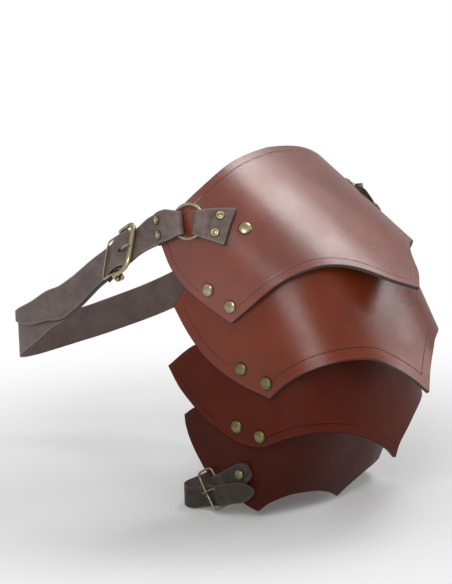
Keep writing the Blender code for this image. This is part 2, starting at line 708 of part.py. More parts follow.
class RingSeat:
    """A ring on the top plate, and the flat frame that it and both folds share."""

    def __init__(self, plate, along, side):
        self.plate = plate
        self.along = along
        self.side = side
        self.outward = plate.normal(FRONT_RING_ACROSS, side)
        self.height = SEAT_GAP + STRAP_THICKNESS + SEAT_GAP + RING_WIRE_RADIUS
        self.centre = plate.place(FRONT_RING_ACROSS, along, self.height, side)
        turn = math.radians(TAB_TURN_DEG)
        self.pattern_run = np.array([-math.sin(turn), -math.cos(turn)])
        self.pattern_wide = np.array([math.cos(turn), -math.sin(turn)])
        near = plate.place(FRONT_RING_ACROSS, along, 0.0, side)
        step = PLATE_THICKNESS
        ahead = plate.place(FRONT_RING_ACROSS + self.pattern_run[0] * step,
                            along + self.pattern_run[1] * step, 0.0, side)
        run = ahead - near
        self.run = unit(run - self.outward * np.dot(run, self.outward))
        self.wide = unit(np.cross(self.outward, self.run)) * side


def nose_reach():
    """How far past the wire a fold's nose lies, so that the round ring clears its ends."""
    chord = math.sqrt(RING_RADIUS**2 - WAIST_HALF_WIDTH**2)
    return RING_RADIUS - chord + RING_WIRE_RADIUS * (RING_RADIUS / chord - 1.0) + SEAT_GAP


def add_tab(name, seat, collection, cutters):
    """The folded tab that holds the ring, with both legs on the plate."""
    lower = SEAT_GAP + STRAP_THICKNESS / 2
    upper = lower + STRAP_THICKNESS + SEAT_GAP
    wrap = RING_WIRE_RADIUS + SEAT_GAP + STRAP_THICKNESS / 2
    leg = TAB_LENGTH - RING_RADIUS
    runs, heights = fold_line(seat.height, wrap, lower, upper, nose_reach(), TAB_MERGE_LENGTH, leg,
                              LEG_CELLS)
    from_ring = runs + RING_RADIUS
    shares = np.clip((from_ring - RING_RADIUS / 2) / (TAB_LENGTH - RING_RADIUS / 2), 0.0, 1.0)
    half = WAIST_HALF_WIDTH + (TAB_END_HALF_WIDTH - WAIST_HALF_WIDTH) * shares
    ahead, aside = spread(from_ring, half, STRIP_CELLS)
    tall = heights[:, None] + 0.0 * aside
    arc = FRONT_RING_ACROSS + ahead * seat.pattern_run[0] + aside * seat.pattern_wide[0]
    along = seat.along + ahead * seat.pattern_run[1] + aside * seat.pattern_wide[1]
    wrapped = seat.plate.place(arc, along, tall, seat.side)
    flat = (seat.centre + ahead[..., None] * seat.run + aside[..., None] * seat.wide
            + (tall - seat.height)[..., None] * seat.outward)
    blend = ease((ahead - RING_RADIUS - wrap) / TAB_WRAP_LENGTH)[..., None]
    made = band_object(name, flat + (wrapped - flat) * blend, STRAP_THICKNESS, collection,
                       strap_material(name))
    face = 2 * STRAP_THICKNESS + 2 * SEAT_GAP
    grip = face + PLATE_THICKNESS + CURVED_SEAT_GAP
    holes = []
    for label, offset in (("upper", -1.0), ("lower", 1.0)):
        spot = (FRONT_RING_ACROSS + TAB_RIVET_FROM_RING * seat.pattern_run[0]
                + offset * TAB_RIVET_HALF_SPACING * seat.pattern_wide[0],
                seat.along + TAB_RIVET_FROM_RING * seat.pattern_run[1]
                + offset * TAB_RIVET_HALF_SPACING * seat.pattern_wide[1])
        place = seat.plate.place(spot[0], spot[1], face, seat.side)
        outward = seat.plate.normal(spot[0], seat.side)
        hole = cylinder_cutter(f"{name}_{label}_hole", SMALL_SHANK_RADIUS + SEAT_GAP, grip + face, place,
                               outward, cutters)
        holes.append(hole)
        cut(made, hole)
        rivet = f"{name}_rivet_{label}"
        add_turned(rivet, small_rivet_profile(grip), place, outward, collection,
                   brass_material(rivet, BRASS_COLOUR))
    return holes


def add_ring(name, seat, collection):
    """A round ring, whose origin is at its centre and whose +Z is its axis."""
    bpy.ops.mesh.primitive_torus_add(major_radius=RING_RADIUS, minor_radius=RING_WIRE_RADIUS,
                                     major_segments=RING_SEGMENTS, minor_segments=RING_WIRE_SEGMENTS)
    made = bpy.context.active_object
    made.name = name
    for holder in list(made.users_collection):
        holder.objects.unlink(made)
    collection.objects.link(made)
    made.data.materials.append(brass_material(name, BRASS_COLOUR))
    made.data.shade_smooth()
    made.rotation_euler = Vector(seat.outward).to_track_quat("Z", "Y").to_euler()
    made.location = Vector(seat.centre)
    return made


def add_large_rivet(name, seat, collection, cutters):
    """The single large rivet beside the tab, through the plate alone."""
    shift = seat.along - FRONT_RING_ALONG
    place = seat.plate.place(LARGE_RIVET_ACROSS, LARGE_RIVET_ALONG + shift, 0.0, seat.side)
    outward = seat.plate.normal(LARGE_RIVET_ACROSS, seat.side)
    add_turned(name, rivet_profile(PLATE_THICKNESS + CURVED_SEAT_GAP), place, outward, collection,
               brass_material(name, BRASS_COLOUR))
    return cylinder_cutter(name + "_hole", RIVET_SHANK_RADIUS + SEAT_GAP, PLATE_THICKNESS + CUT_OVERRUN,
                           place, outward, cutters)


def smooth_value(wanted, table):
    """Smoothly interpolate a table of two columns."""
    table = np.array(table, dtype=float)
    places, values = table[:, 0], table[:, 1]
    slopes = np.gradient(values, places)
    wanted = np.clip(np.asarray(wanted, dtype=float), places[0], places[-1])
    cell = np.clip(np.searchsorted(places, wanted, side="right") - 1, 0, len(places) - 2)
    size = places[cell + 1] - places[cell]
    part = (wanted - places[cell]) / size
    start, end = values[cell], values[cell + 1]
    leave, reach = slopes[cell] * size, slopes[cell + 1] * size
    return ((2 * part**3 - 3 * part**2 + 1) * start + (part**3 - 2 * part**2 + part) * leave
            + (3 * part**2 - 2 * part**3) * end + (part**3 - part**2) * reach)


class StrapPath:
    """A way round the body: a line seen from above, with a drop and a lean along it."""

    def __init__(self, line, drop, lean=None):
        self.line = line
        steps = np.linalg.norm(np.diff(line, axis=0), axis=1)
        self.run = np.concatenate([[0.0], np.cumsum(steps)])
        self.length = self.run[-1]
        self.ahead = unit(np.gradient(line, self.run, axis=0))
        self.drop = drop
        self.lean = lean or (lambda run: 0.0 * run)

    def frame(self, run):
        """Middle, direction, outward normal and upward width at a run along the way."""
        run = np.asarray(run, dtype=float)
        middle = np.stack([np.interp(run, self.run, self.line[:, 0]),
                           np.interp(run, self.run, self.line[:, 1]), self.drop(run)], axis=-1)
        level = unit(np.stack([np.interp(run, self.run, self.ahead[:, 0]),
                               np.interp(run, self.run, self.ahead[:, 1]), 0.0 * run], axis=-1))
        step = STRAP_THICKNESS
        fall = (self.drop(run + step) - self.drop(run - step)) / (2 * step)
        up = np.array([0.0, 0.0, 1.0])
        along = unit(level + fall[..., None] * up)
        outward = np.cross(up, level)
        lean = self.lean(run)[..., None]
        facing = outward * np.cos(lean) + up * np.sin(lean)
        facing = unit(facing - along * np.sum(facing * along, axis=-1, keepdims=True))
        return middle, along, facing, np.cross(along, facing)

    def place(self, run, across, height):
        """World place of a strap point: across is upwards, height is outwards."""
        middle, _, facing, width = self.frame(run)
        return middle + across[..., None] * width + height[..., None] * facing


class Flat:
    """A flat frame that a strap passes through: by a ring, or through a buckle."""

    def __init__(self, origin, along, facing, height):
        self.origin = np.array(origin)
        self.along = unit(along)
        self.facing = unit(facing)
        self.width = np.cross(self.along, self.facing)
        self.height = height

    def place(self, ahead, across, height):
        return (self.origin + ahead[..., None] * self.along + across[..., None] * self.width
                + (height - self.height)[..., None] * self.facing)

    def turned(self, angle):
        """The same plane, with its axes turned so that the width leans back along it."""
        along = self.along * math.cos(angle) + self.width * math.sin(angle)
        return Flat(self.origin, along, self.facing, self.height)

    def matrix(self):
        """Axes for a piece: +X along, +Y down across, +Z outward."""
        made = Matrix.Identity(4)
        for column, axis in enumerate((self.along, -self.width, self.facing)):
            for row in range(3):
                made[row][column] = axis[row]
        made.translation = Vector(self.origin)
        return made


class ChestPath:
    """The chest strap's way, made flat at both rings and through the buckle."""

    def __init__(self, front, rear):
        reach = abs(front.centre[1]) - STRAP_THICKNESS - LEG_GAP / 2
        start = front.centre[0] - CHEST_STRAIGHT
        turn = np.linspace(0.0, math.pi, SECTION_SAMPLES)
        arc = np.stack([start - CHEST_ROUND_REACH * np.sin(turn), -reach * np.cos(turn)], axis=-1)
        line = np.concatenate([[[front.centre[0], -reach]], arc, [[rear.centre[0], reach]]])
        lengths = np.concatenate([[0.0], np.cumsum(np.linalg.norm(np.diff(line, axis=0), axis=1))])
        self.total = lengths[-1]
        self.half = CHEST_STRAIGHT + (lengths[-2] - CHEST_STRAIGHT) / 2
        self.rear_rise = rear.centre[2] - front.centre[2]
        self.top = front.centre[2]
        dense = np.linspace(0.0, self.total, 2 * SECTION_SAMPLES)
        line = np.stack([np.interp(dense, lengths, column) for column in line.T], axis=-1)
        self.strap = StrapPath(line, self.strap_drop, self.lean)
        self.billet = StrapPath(line, self.billet_drop, self.lean)
        mean_height = STRAP_THICKNESS + LEG_GAP / 2
        slant = math.radians(RING_SLANT_DEG)
        self.front = Flat(front.centre, -front.run, front.outward, mean_height).turned(-slant)
        self.rear = Flat(rear.centre, rear.run, rear.outward, mean_height).turned(slant)
        middle, along, facing, _ = self.strap.frame(np.array(PIN_FROM_RING))
        self.buckle = Flat(middle, along, facing, 0.0)

    def strap_drop(self, run):
        share = run / self.half
        front = self.top - CHEST_DROP * smooth_value(share, FAR_DROP_SHARES)
        back_share = (self.total - run) / (self.total - self.half)
        rear_top = self.top + self.rear_rise
        back = rear_top - (CHEST_DROP + self.rear_rise) * smooth_value(back_share, FAR_DROP_SHARES)
        return np.where(share < 1.0, front, back)

    def billet_drop(self, run):
        share = run / self.half
        low = self.top - CHEST_DROP * smooth_value(share, BILLET_DROP_SHARES)
        return np.where(share > BILLET_DROP_SHARES[0][0], low, self.strap_drop(run))

    def lean(self, run):
        return math.radians(CHEST_LEAN_DEG) * smooth_value(run / self.half, LEAN_SHARES)

    def base(self, path, run, across):
        """The strap's inner face: on the path, but flat near the rings and the buckle."""
        level = np.zeros_like(run)
        point = path.place(run, across, level)
        flats = ((self.front, 0.0, RING_FLAT_LENGTH, FLAT_BLEND_LENGTH),
                 (self.buckle, PIN_FROM_RING, BUCKLE_FLAT_LENGTH, FLAT_BLEND_LENGTH),
                 (self.rear, self.total, REAR_FLAT_LENGTH, REAR_BLEND_LENGTH))
        for flat, start, reach, blend in flats:
            near = 1.0 - ease((np.abs(run - start) - reach) / blend)
            point = point + (flat.place(run - start, across, level) - point) * near[..., None]
        return point

    def outward(self, path, run, across):
        """Normal of the inner face, from two small steps on it."""
        step = STRAP_THICKNESS / 4
        ahead = self.base(path, run + step, across) - self.base(path, run - step, across)
        aside = self.base(path, run, across + step) - self.base(path, run, across - step)
        return unit(np.cross(aside, ahead))

    def place(self, path, run, across, height):
        """A strap point, raised off the inner face along its normal."""
        return self.base(path, run, across) + height[..., None] * self.outward(path, run, across)


def spread(rows, half_widths, cells):
    """Grids of rows and of places across them."""
    columns = np.linspace(-1.0, 1.0, cells + 1)
    across = np.asarray(half_widths)[:, None] * columns[None, :]
    return np.asarray(rows)[:, None] + 0.0 * across, across


def waisted(from_ring):
    """Half width of a strap near its ring: narrow in the ring, full at its rivets."""
    full = RIVETED_HALF_WIDTH - WAIST_HALF_WIDTH
    return WAIST_HALF_WIDTH + full * ease((from_ring - RING_RADIUS / 2) / RING_RADIUS)


def billet_height(ahead):
    """Middle height of the billet: under the bar, over the pin, down on to the strap."""
    low = STRAP_THICKNESS + LEG_GAP + STRAP_THICKNESS / 2
    over = pin_height() + PIN_RADIUS + 2 * SEAT_GAP + 2 * PRONG_RADIUS + STRAP_THICKNESS / 2 + SEAT_GAP
    after = low + STRAP_THICKNESS + SEAT_GAP
    rise = ease((ahead + BILLET_RISE_START) / (BILLET_RISE_START - BILLET_RISE_END))
    fall = ease((ahead - BILLET_RISE_END) / (BILLET_RISE_START - BILLET_RISE_END))
    return low + (over - low) * rise + (after - over) * fall


def pin_height():
    return STRAP_THICKNESS + SEAT_GAP + PIN_RADIUS


def add_billet(path, collection, cutters):
    """The short strap: folded round the front ring, through the buckle, and on."""
    inner = STRAP_THICKNESS / 2
    outer = inner + STRAP_THICKNESS + LEG_GAP
    wrap = RING_WIRE_RADIUS + SEAT_GAP + STRAP_THICKNESS / 2
    runs, heights = fold_line((inner + outer) / 2, wrap, inner, outer, nose_reach(), FOLD_MERGE_LENGTH,
                              FOLD_LEG_LENGTH, 2 * LEG_CELLS)
    rows = runs + RING_RADIUS
    flat = BUCKLE_FLAT_LENGTH
    end = BILLET_LENGTH_SHARE * path.half
    ahead = np.linspace(PIN_FROM_RING - flat, PIN_FROM_RING + flat, BUCKLE_ROWS)
    later = np.linspace(ahead[-1], end, 1 + round((end - ahead[-1]) / STRAP_ROW_LENGTH))[1:]
    between = np.linspace(rows[-1], ahead[0], LEG_CELLS)[1:-1]
    rest = np.concatenate([between, ahead, later])
    rows = np.concatenate([rows, rest])
    full = RIVETED_HALF_WIDTH + (STRAP_HALF_WIDTH - RIVETED_HALF_WIDTH) * ease(
        (rows - FOLD_RIVET_FROM_RING) / (PIN_FROM_RING - FOLD_RIVET_FROM_RING))
    taper = np.clip((rows / path.half - BILLET_TAPER_START_SHARE)
                    / (BILLET_LENGTH_SHARE - BILLET_TAPER_START_SHARE), 0.0, 1.0)
    full = full + (BILLET_TIP_HALF_WIDTH - STRAP_HALF_WIDTH) * taper
    half = np.where(rows < FOLD_RIVET_FROM_RING, waisted(rows), full)
    run, across = spread(rows, half, STRIP_CELLS)
    turn = math.radians(BUCKLE_TURN_DEG)
    from_pin = (run - PIN_FROM_RING) * math.cos(turn) + across * math.sin(turn)
    heights = np.concatenate([heights, 0.0 * rest])[:, None] + 0.0 * across
    heights = np.where(run > RING_RADIUS + FOLD_LEG_LENGTH + SEAT_GAP, billet_height(from_pin), heights)
    points = path.place(path.billet, run, across, heights)
    made = band_object("billet_strap", points, STRAP_THICKNESS, collection, strap_material("billet_strap"))
    buckle = path.buckle.turned(turn)
    hole_middle = (BILLET_HOLE_NEAR + BILLET_HOLE_FAR) / 2
    slot = buckle.matrix() @ Matrix.Translation((-hole_middle, 0.0, billet_height(0.0)))
    sizes = (BILLET_HOLE_FAR - BILLET_HOLE_NEAR, BILLET_HOLE_WIDTH, RING_RADIUS)
    cut(made, box_cutter("billet_prong_hole", sizes, slot, cutters))
    hole_run = np.array(STRAP_HOLE_FROM_RING)
    middle, _, facing, _ = path.billet.frame(hole_run)
    tall = float(billet_height(hole_run - PIN_FROM_RING))
    cut(made, cylinder_cutter("billet_round_hole", STRAP_HOLE_RADIUS, 2 * STRAP_THICKNESS,
                              middle + facing * tall, facing, cutters))
    rivet_fold(path, path.billet, 0.0, made, collection, cutters)
    return made


def rivet_fold(path, way, start, strap, collection, cutters):
    """Two small rivets through both legs of a fold, across the strap."""
    face = 2 * STRAP_THICKNESS + LEG_GAP
    for label, offset in (("upper", 1.0), ("lower", -1.0)):
        run = np.array(abs(start - FOLD_RIVET_FROM_RING))
        across = np.array(offset * FOLD_RIVET_HALF_SPACING)
        place = path.place(way, run, across, np.array(face))
        outward = path.outward(way, run, across)
        rivet = f"{strap.name}_rivet_{label}"
        cut(strap, cylinder_cutter(rivet + "_hole", SMALL_SHANK_RADIUS + SEAT_GAP, 2 * face, place,
                                   outward, cutters))
        add_turned(rivet, small_rivet_profile(face + SEAT_GAP), place, outward, collection,
                   brass_material(rivet, BRASS_COLOUR))


def add_buckle_strap(path, collection, cutters):
    """The long strap: folded round the buckle's pin, round the chest to the rear ring."""
    inner = STRAP_THICKNESS / 2
    outer = inner + STRAP_THICKNESS + LEG_GAP
    wrap_pin = PIN_RADIUS + SEAT_GAP + STRAP_THICKNESS / 2
    wrap_ring = RING_WIRE_RADIUS + SEAT_GAP + STRAP_THICKNESS / 2
    pin_runs, pin_heights = fold_line(pin_height(), wrap_pin, inner, outer, 0.0, PIN_MERGE_LENGTH,
                                      FOLD_LEG_LENGTH, 2 * LEG_CELLS)
    ring_runs, ring_heights = fold_line((inner + outer) / 2, wrap_ring, inner, outer, nose_reach(),
                                        FOLD_MERGE_LENGTH, FOLD_LEG_LENGTH, 2 * LEG_CELLS)
    first = PIN_FROM_RING + pin_runs
    last = (path.total - RING_RADIUS - ring_runs)[::-1]
    count = round((last[0] - first[-1]) / STRAP_ROW_LENGTH)
    between = np.linspace(first[-1], last[0], count + 1)[1:-1]
    rows = np.concatenate([first, between, last])
    heights = np.concatenate([pin_heights, 0.0 * between + outer, ring_heights[::-1]])
    back = path.total - rows
    narrow = STRAP_HALF_WIDTH - RIVETED_HALF_WIDTH
    widening = ease((PIN_FROM_RING - back) / (PIN_FROM_RING - FOLD_RIVET_FROM_RING))
    half = STRAP_HALF_WIDTH - narrow * widening
    half = np.where(back < FOLD_RIVET_FROM_RING, waisted(back), half)
    run, across = spread(rows, half, STRIP_CELLS)
    tall = heights[:, None] + 0.0 * across
    points = path.place(path.strap, run, across, tall)
    buckle = path.buckle.turned(math.radians(BUCKLE_TURN_DEG))
    near = 1.0 - ease((run - PIN_FROM_RING - wrap_pin) / FOLD_LEG_LENGTH)
    points = points + (buckle.place(run - PIN_FROM_RING, across, tall) - points) * near[..., None]
    made = band_object("buckle_strap", points, STRAP_THICKNESS, collection, strap_material("buckle_strap"))
    slot = buckle.matrix() @ Matrix.Translation((0.0, 0.0, pin_height()))
    cut(made, box_cutter("fold_slot", (2 * PIN_MERGE_LENGTH, FOLD_SLOT_WIDTH, 4 * wrap_pin), slot, cutters))
    rivet_fold(path, path.strap, path.total, made, collection, cutters)
    return made


def wire_object(name, points, radius, collection, material, matrix, radii=None, closed=False):
    """A bent wire through points, given in the axes of its matrix."""
    curve = bpy.data.curves.new(name, "CURVE")
    curve.dimensions = "3D"
    curve.bevel_depth = radius
    curve.bevel_resolution = WIRE_BEND_STEPS
    curve.use_fill_caps = True
    spline = curve.splines.new("POLY")
    spline.points.add(len(points) - 1)
    spline.use_cyclic_u = closed
    for number, point in enumerate(points):
        spline.points[number].co = (*point, 1.0)
        if radii is not None:
            spline.points[number].radius = radii[number]
    return mesh_from_curve(name, curve, collection, material, matrix)


def hook(radius, side):
    """A wire's turn round a pin at its own origin, from below up to the top tangent.

    The hook opens to the side the arm leaves on: side 1 for along, -1 for against.
    """
    points = []
    for turn in np.linspace(math.radians(HOOK_TURN_DEG), 0.0, 2 * CORNER_STEPS):
        points.append((-side * radius * math.sin(turn), radius * math.cos(turn)))
    return points


def corner(middle_x, middle_y, radius, start_deg, end_deg):
    """Points on a rounded corner."""
    turns = np.radians(np.linspace(start_deg, end_deg, CORNER_STEPS))
    return [(middle_x + radius * math.cos(turn), middle_y + radius * math.sin(turn)) for turn in turns]


def slanted(points):
    """Slant a wire's arms so that they run beside the turned strap."""
    slant = math.tan(math.radians(BUCKLE_TURN_DEG))
    beyond = PIN_RADIUS + PIN_END_RADIUS
    return [(x, y + slant * math.copysign(max(abs(x) - beyond, 0.0), x), z) for x, y, z in points]


def add_chest_buckle(path, collection):
    """Pin with ball ends, D-shaped frame, prong and wire keeper, all round the pin."""
    buckle = path.buckle.turned(math.radians(BUCKLE_TURN_DEG))
    axes = buckle.matrix() @ Matrix.Translation((0.0, 0.0, pin_height()))
    upper = [(across * PIN_END_RADIUS, PIN_HALF_LENGTH + tall * PIN_END_LENGTH)
             for across, tall in PIN_END_SHARES]
    upper.append((PIN_RADIUS, PIN_HALF_LENGTH))
    profile = upper + [(radius, -height) for radius, height in upper[::-1]]
    add_turned("chest_buckle_pin", profile, axes.translation, buckle.width, collection,
               brass_material("chest_buckle_pin", BRASS_COLOUR))
    gap = PIN_RADIUS + SEAT_GAP

    reach = gap + FRAME_WIRE_RADIUS
    side = [(x, -FRAME_HALF_LENGTH, z) for x, z in hook(reach, -1.0)]
    bend = corner(-FRAME_REACH + FRAME_CORNER, -FRAME_HALF_LENGTH + FRAME_CORNER, FRAME_CORNER, 270.0, 180.0)
    bar = [(x, y, reach) for x, y in bend]
    half = side + bar
    points = slanted(half + [(x, -y, z) for x, y, z in half[::-1]])
    thick = [1.0] * len(side) + list(np.linspace(1.0, FRAME_BAR_THICKER_SHARE, len(bar)))
    wire_object("chest_buckle_frame", points, FRAME_WIRE_RADIUS, collection,
                brass_material("chest_buckle_frame", BRASS_COLOUR), axes, radii=thick + thick[::-1])

    reach = gap + KEEPER_WIRE_RADIUS
    half_length = STRAP_HALF_WIDTH + KEEPER_SPARE + KEEPER_WIRE_RADIUS
    tall = billet_height(KEEPER_REACH) + STRAP_THICKNESS / 2 + SEAT_GAP + KEEPER_WIRE_RADIUS - pin_height()
    side = [(x, -half_length, z) for x, z in hook(reach, 1.0)]
    bend = corner(KEEPER_REACH - KEEPER_CORNER, -half_length + KEEPER_CORNER, KEEPER_CORNER, -90.0, 0.0)
    half = side + [(x, y, tall) for x, y in bend]
    points = slanted(half + [(x, -y, z) for x, y, z in half[::-1]])
    wire_object("chest_buckle_keeper", points, KEEPER_WIRE_RADIUS, collection,
                brass_material("chest_buckle_keeper", BRASS_COLOUR), axes)

    bar_top = gap + FRAME_WIRE_RADIUS + FRAME_BAR_THICKER_SHARE * FRAME_WIRE_RADIUS
    add_prong("chest_buckle_prong", gap, PRONG_RADIUS, FRAME_REACH, bar_top + SEAT_GAP + PRONG_RADIUS,
              axes, collection)


def add_prong(name, gap, radius, reach, rest_height, axes, collection):
    """A prong hooked round its pin, up through the strap, and resting on the bar."""
    low = gap + radius
    points = [(x, 0.0, z) for x, z in hook(low, -1.0)]
    for share in PRONG_REACH_SHARES:
        rise = ease((share - PRONG_RISE_START_SHARE) / PRONG_RISE_SHARE)
        points.append((-share * reach, 0.0, low + (rest_height - low) * float(rise)))
    points.append((-reach - PRONG_OVERHANG, 0.0, rest_height))
    radii = [1.0] * (len(points) - 1) + [PRONG_TIP_SHARE]
    wire_object(name, points, radius, collection, brass_material(name, BRASS_COLOUR), axes, radii=radii)


def arm_heights():
    """Heights above the lowest plate: the hinge bar, and both legs of the tab."""
    inner = SEAT_GAP + ARM_STRAP_THICKNESS / 2
    outer = inner + ARM_STRAP_THICKNESS + SEAT_GAP
    hinge = SEAT_GAP + ARM_STRAP_THICKNESS + SEAT_GAP + ARM_WIRE_RADIUS
    return inner, outer, hinge


def arm_flat(plate, side, slope_deg):
    """A flat frame on the lowest plate's end, from the rivet, down and inwards."""
    origin = plate.end_place(ARM_RIVET_ALONG, ARM_RIVET_BELOW, side)
    slope = math.radians(slope_deg)
    along = np.array([-math.cos(slope), 0.0, -math.sin(slope)])
    return Flat(origin, along, (0.0, side, 0.0), 0.0)


def add_arm_tab(plate, shell, collection, cutters):
    """The short tab of the arm buckle, riveted to the front end of the lowest plate."""
    flat = arm_flat(plate, FRONT, ARM_TAB_SLOPE_DEG)
    inner, outer, hinge = arm_heights()
    wrap = ARM_WIRE_RADIUS + SEAT_GAP + ARM_STRAP_THICKNESS / 2
    leg = ARM_TAB_LENGTH + ARM_TAB_END_LENGTH
    runs, heights = fold_line(hinge, wrap, inner, outer, 0.0, ARM_MERGE_LENGTH, leg, LEG_CELLS)
    rounding = np.clip((runs - ARM_TAB_LENGTH) / ARM_TAB_END_LENGTH, 0.0, 1.0)
    half = ARM_TAB_HALF_WIDTH * np.sqrt(1.0 - END_ROUNDING_SHARE * rounding**2)
    run, across = spread(ARM_TAB_LENGTH - runs, half, STRIP_CELLS)
    tall = heights[:, None] + 0.0 * across
    made = band_object("arm_buckle_tab", flat.place(run, across, tall), ARM_STRAP_THICKNESS, collection,
                       strap_material("arm_buckle_tab"), plate.hinge)
    slot = flat.matrix() @ Matrix.Translation((ARM_TAB_LENGTH, 0.0, hinge))
    cut(made, box_cutter("arm_fold_slot", (ARM_MERGE_LENGTH, ARM_HOLE_WIDTH, 4 * wrap), slot, cutters))
    face = outer + ARM_STRAP_THICKNESS / 2
    rivet_arm("arm_buckle_tab", flat, face, (made, shell), collection, cutters)
    return flat


def rivet_arm(name, flat, face, pierced, collection, cutters):
    """A darker domed rivet through leather and plate."""
    place = flat.place(np.array(0.0), np.array(0.0), np.array(face))
    grip = face + PLATE_THICKNESS + SEAT_GAP
    profile = rivet_profile(grip, ARM_RIVET_HEAD_RADIUS, ARM_RIVET_CAP_RADIUS)
    add_turned(name + "_rivet", profile, place, flat.facing, collection,
               brass_material(name + "_rivet", AGED_BRASS_COLOUR))
    hole = cylinder_cutter(name + "_rivet_hole", RIVET_SHANK_RADIUS + SEAT_GAP, grip + CUT_OVERRUN, place,
                           flat.facing, cutters)
    for piece in pierced:
        cut(piece, hole)


def add_arm_buckle(flat, collection):
    """The wire frame, hinged in the tab's fold, and its prong."""
    _, _, hinge = arm_heights()
    axes = flat.matrix() @ Matrix.Translation((ARM_TAB_LENGTH, 0.0, hinge))
    lift = arm_bar_height() - hinge
    long_half = ARM_FRAME_HALF_LENGTH
    bend = ARM_FRAME_CORNER
    outline = (corner(ARM_FRAME_REACH - bend, long_half - bend, bend, 0.0, 90.0)
               + corner(bend, long_half - bend, bend, 90.0, 180.0)
               + corner(bend, -long_half + bend, bend, 180.0, 270.0)
               + corner(ARM_FRAME_REACH - bend, -long_half + bend, bend, 270.0, 360.0))
    points = [(x, y, lift * float(ease(x / ARM_FRAME_REACH))) for x, y in outline]
    wire_object("arm_buckle_frame", points, ARM_WIRE_RADIUS, collection,
                brass_material("arm_buckle_frame", AGED_BRASS_COLOUR), axes, closed=True)
    turned = axes @ Matrix.Rotation(math.pi, 4, "Z")
    rest = lift + ARM_WIRE_RADIUS + SEAT_GAP + ARM_PRONG_RADIUS
    add_prong("arm_buckle_prong", ARM_WIRE_RADIUS + SEAT_GAP, ARM_PRONG_RADIUS, ARM_FRAME_REACH, rest,
              turned, collection)


def arm_bar_height():
    return ARM_UNDER_BAR_HEIGHT + ARM_STRAP_THICKNESS / 2 + SEAT_GAP + ARM_WIRE_RADIUS


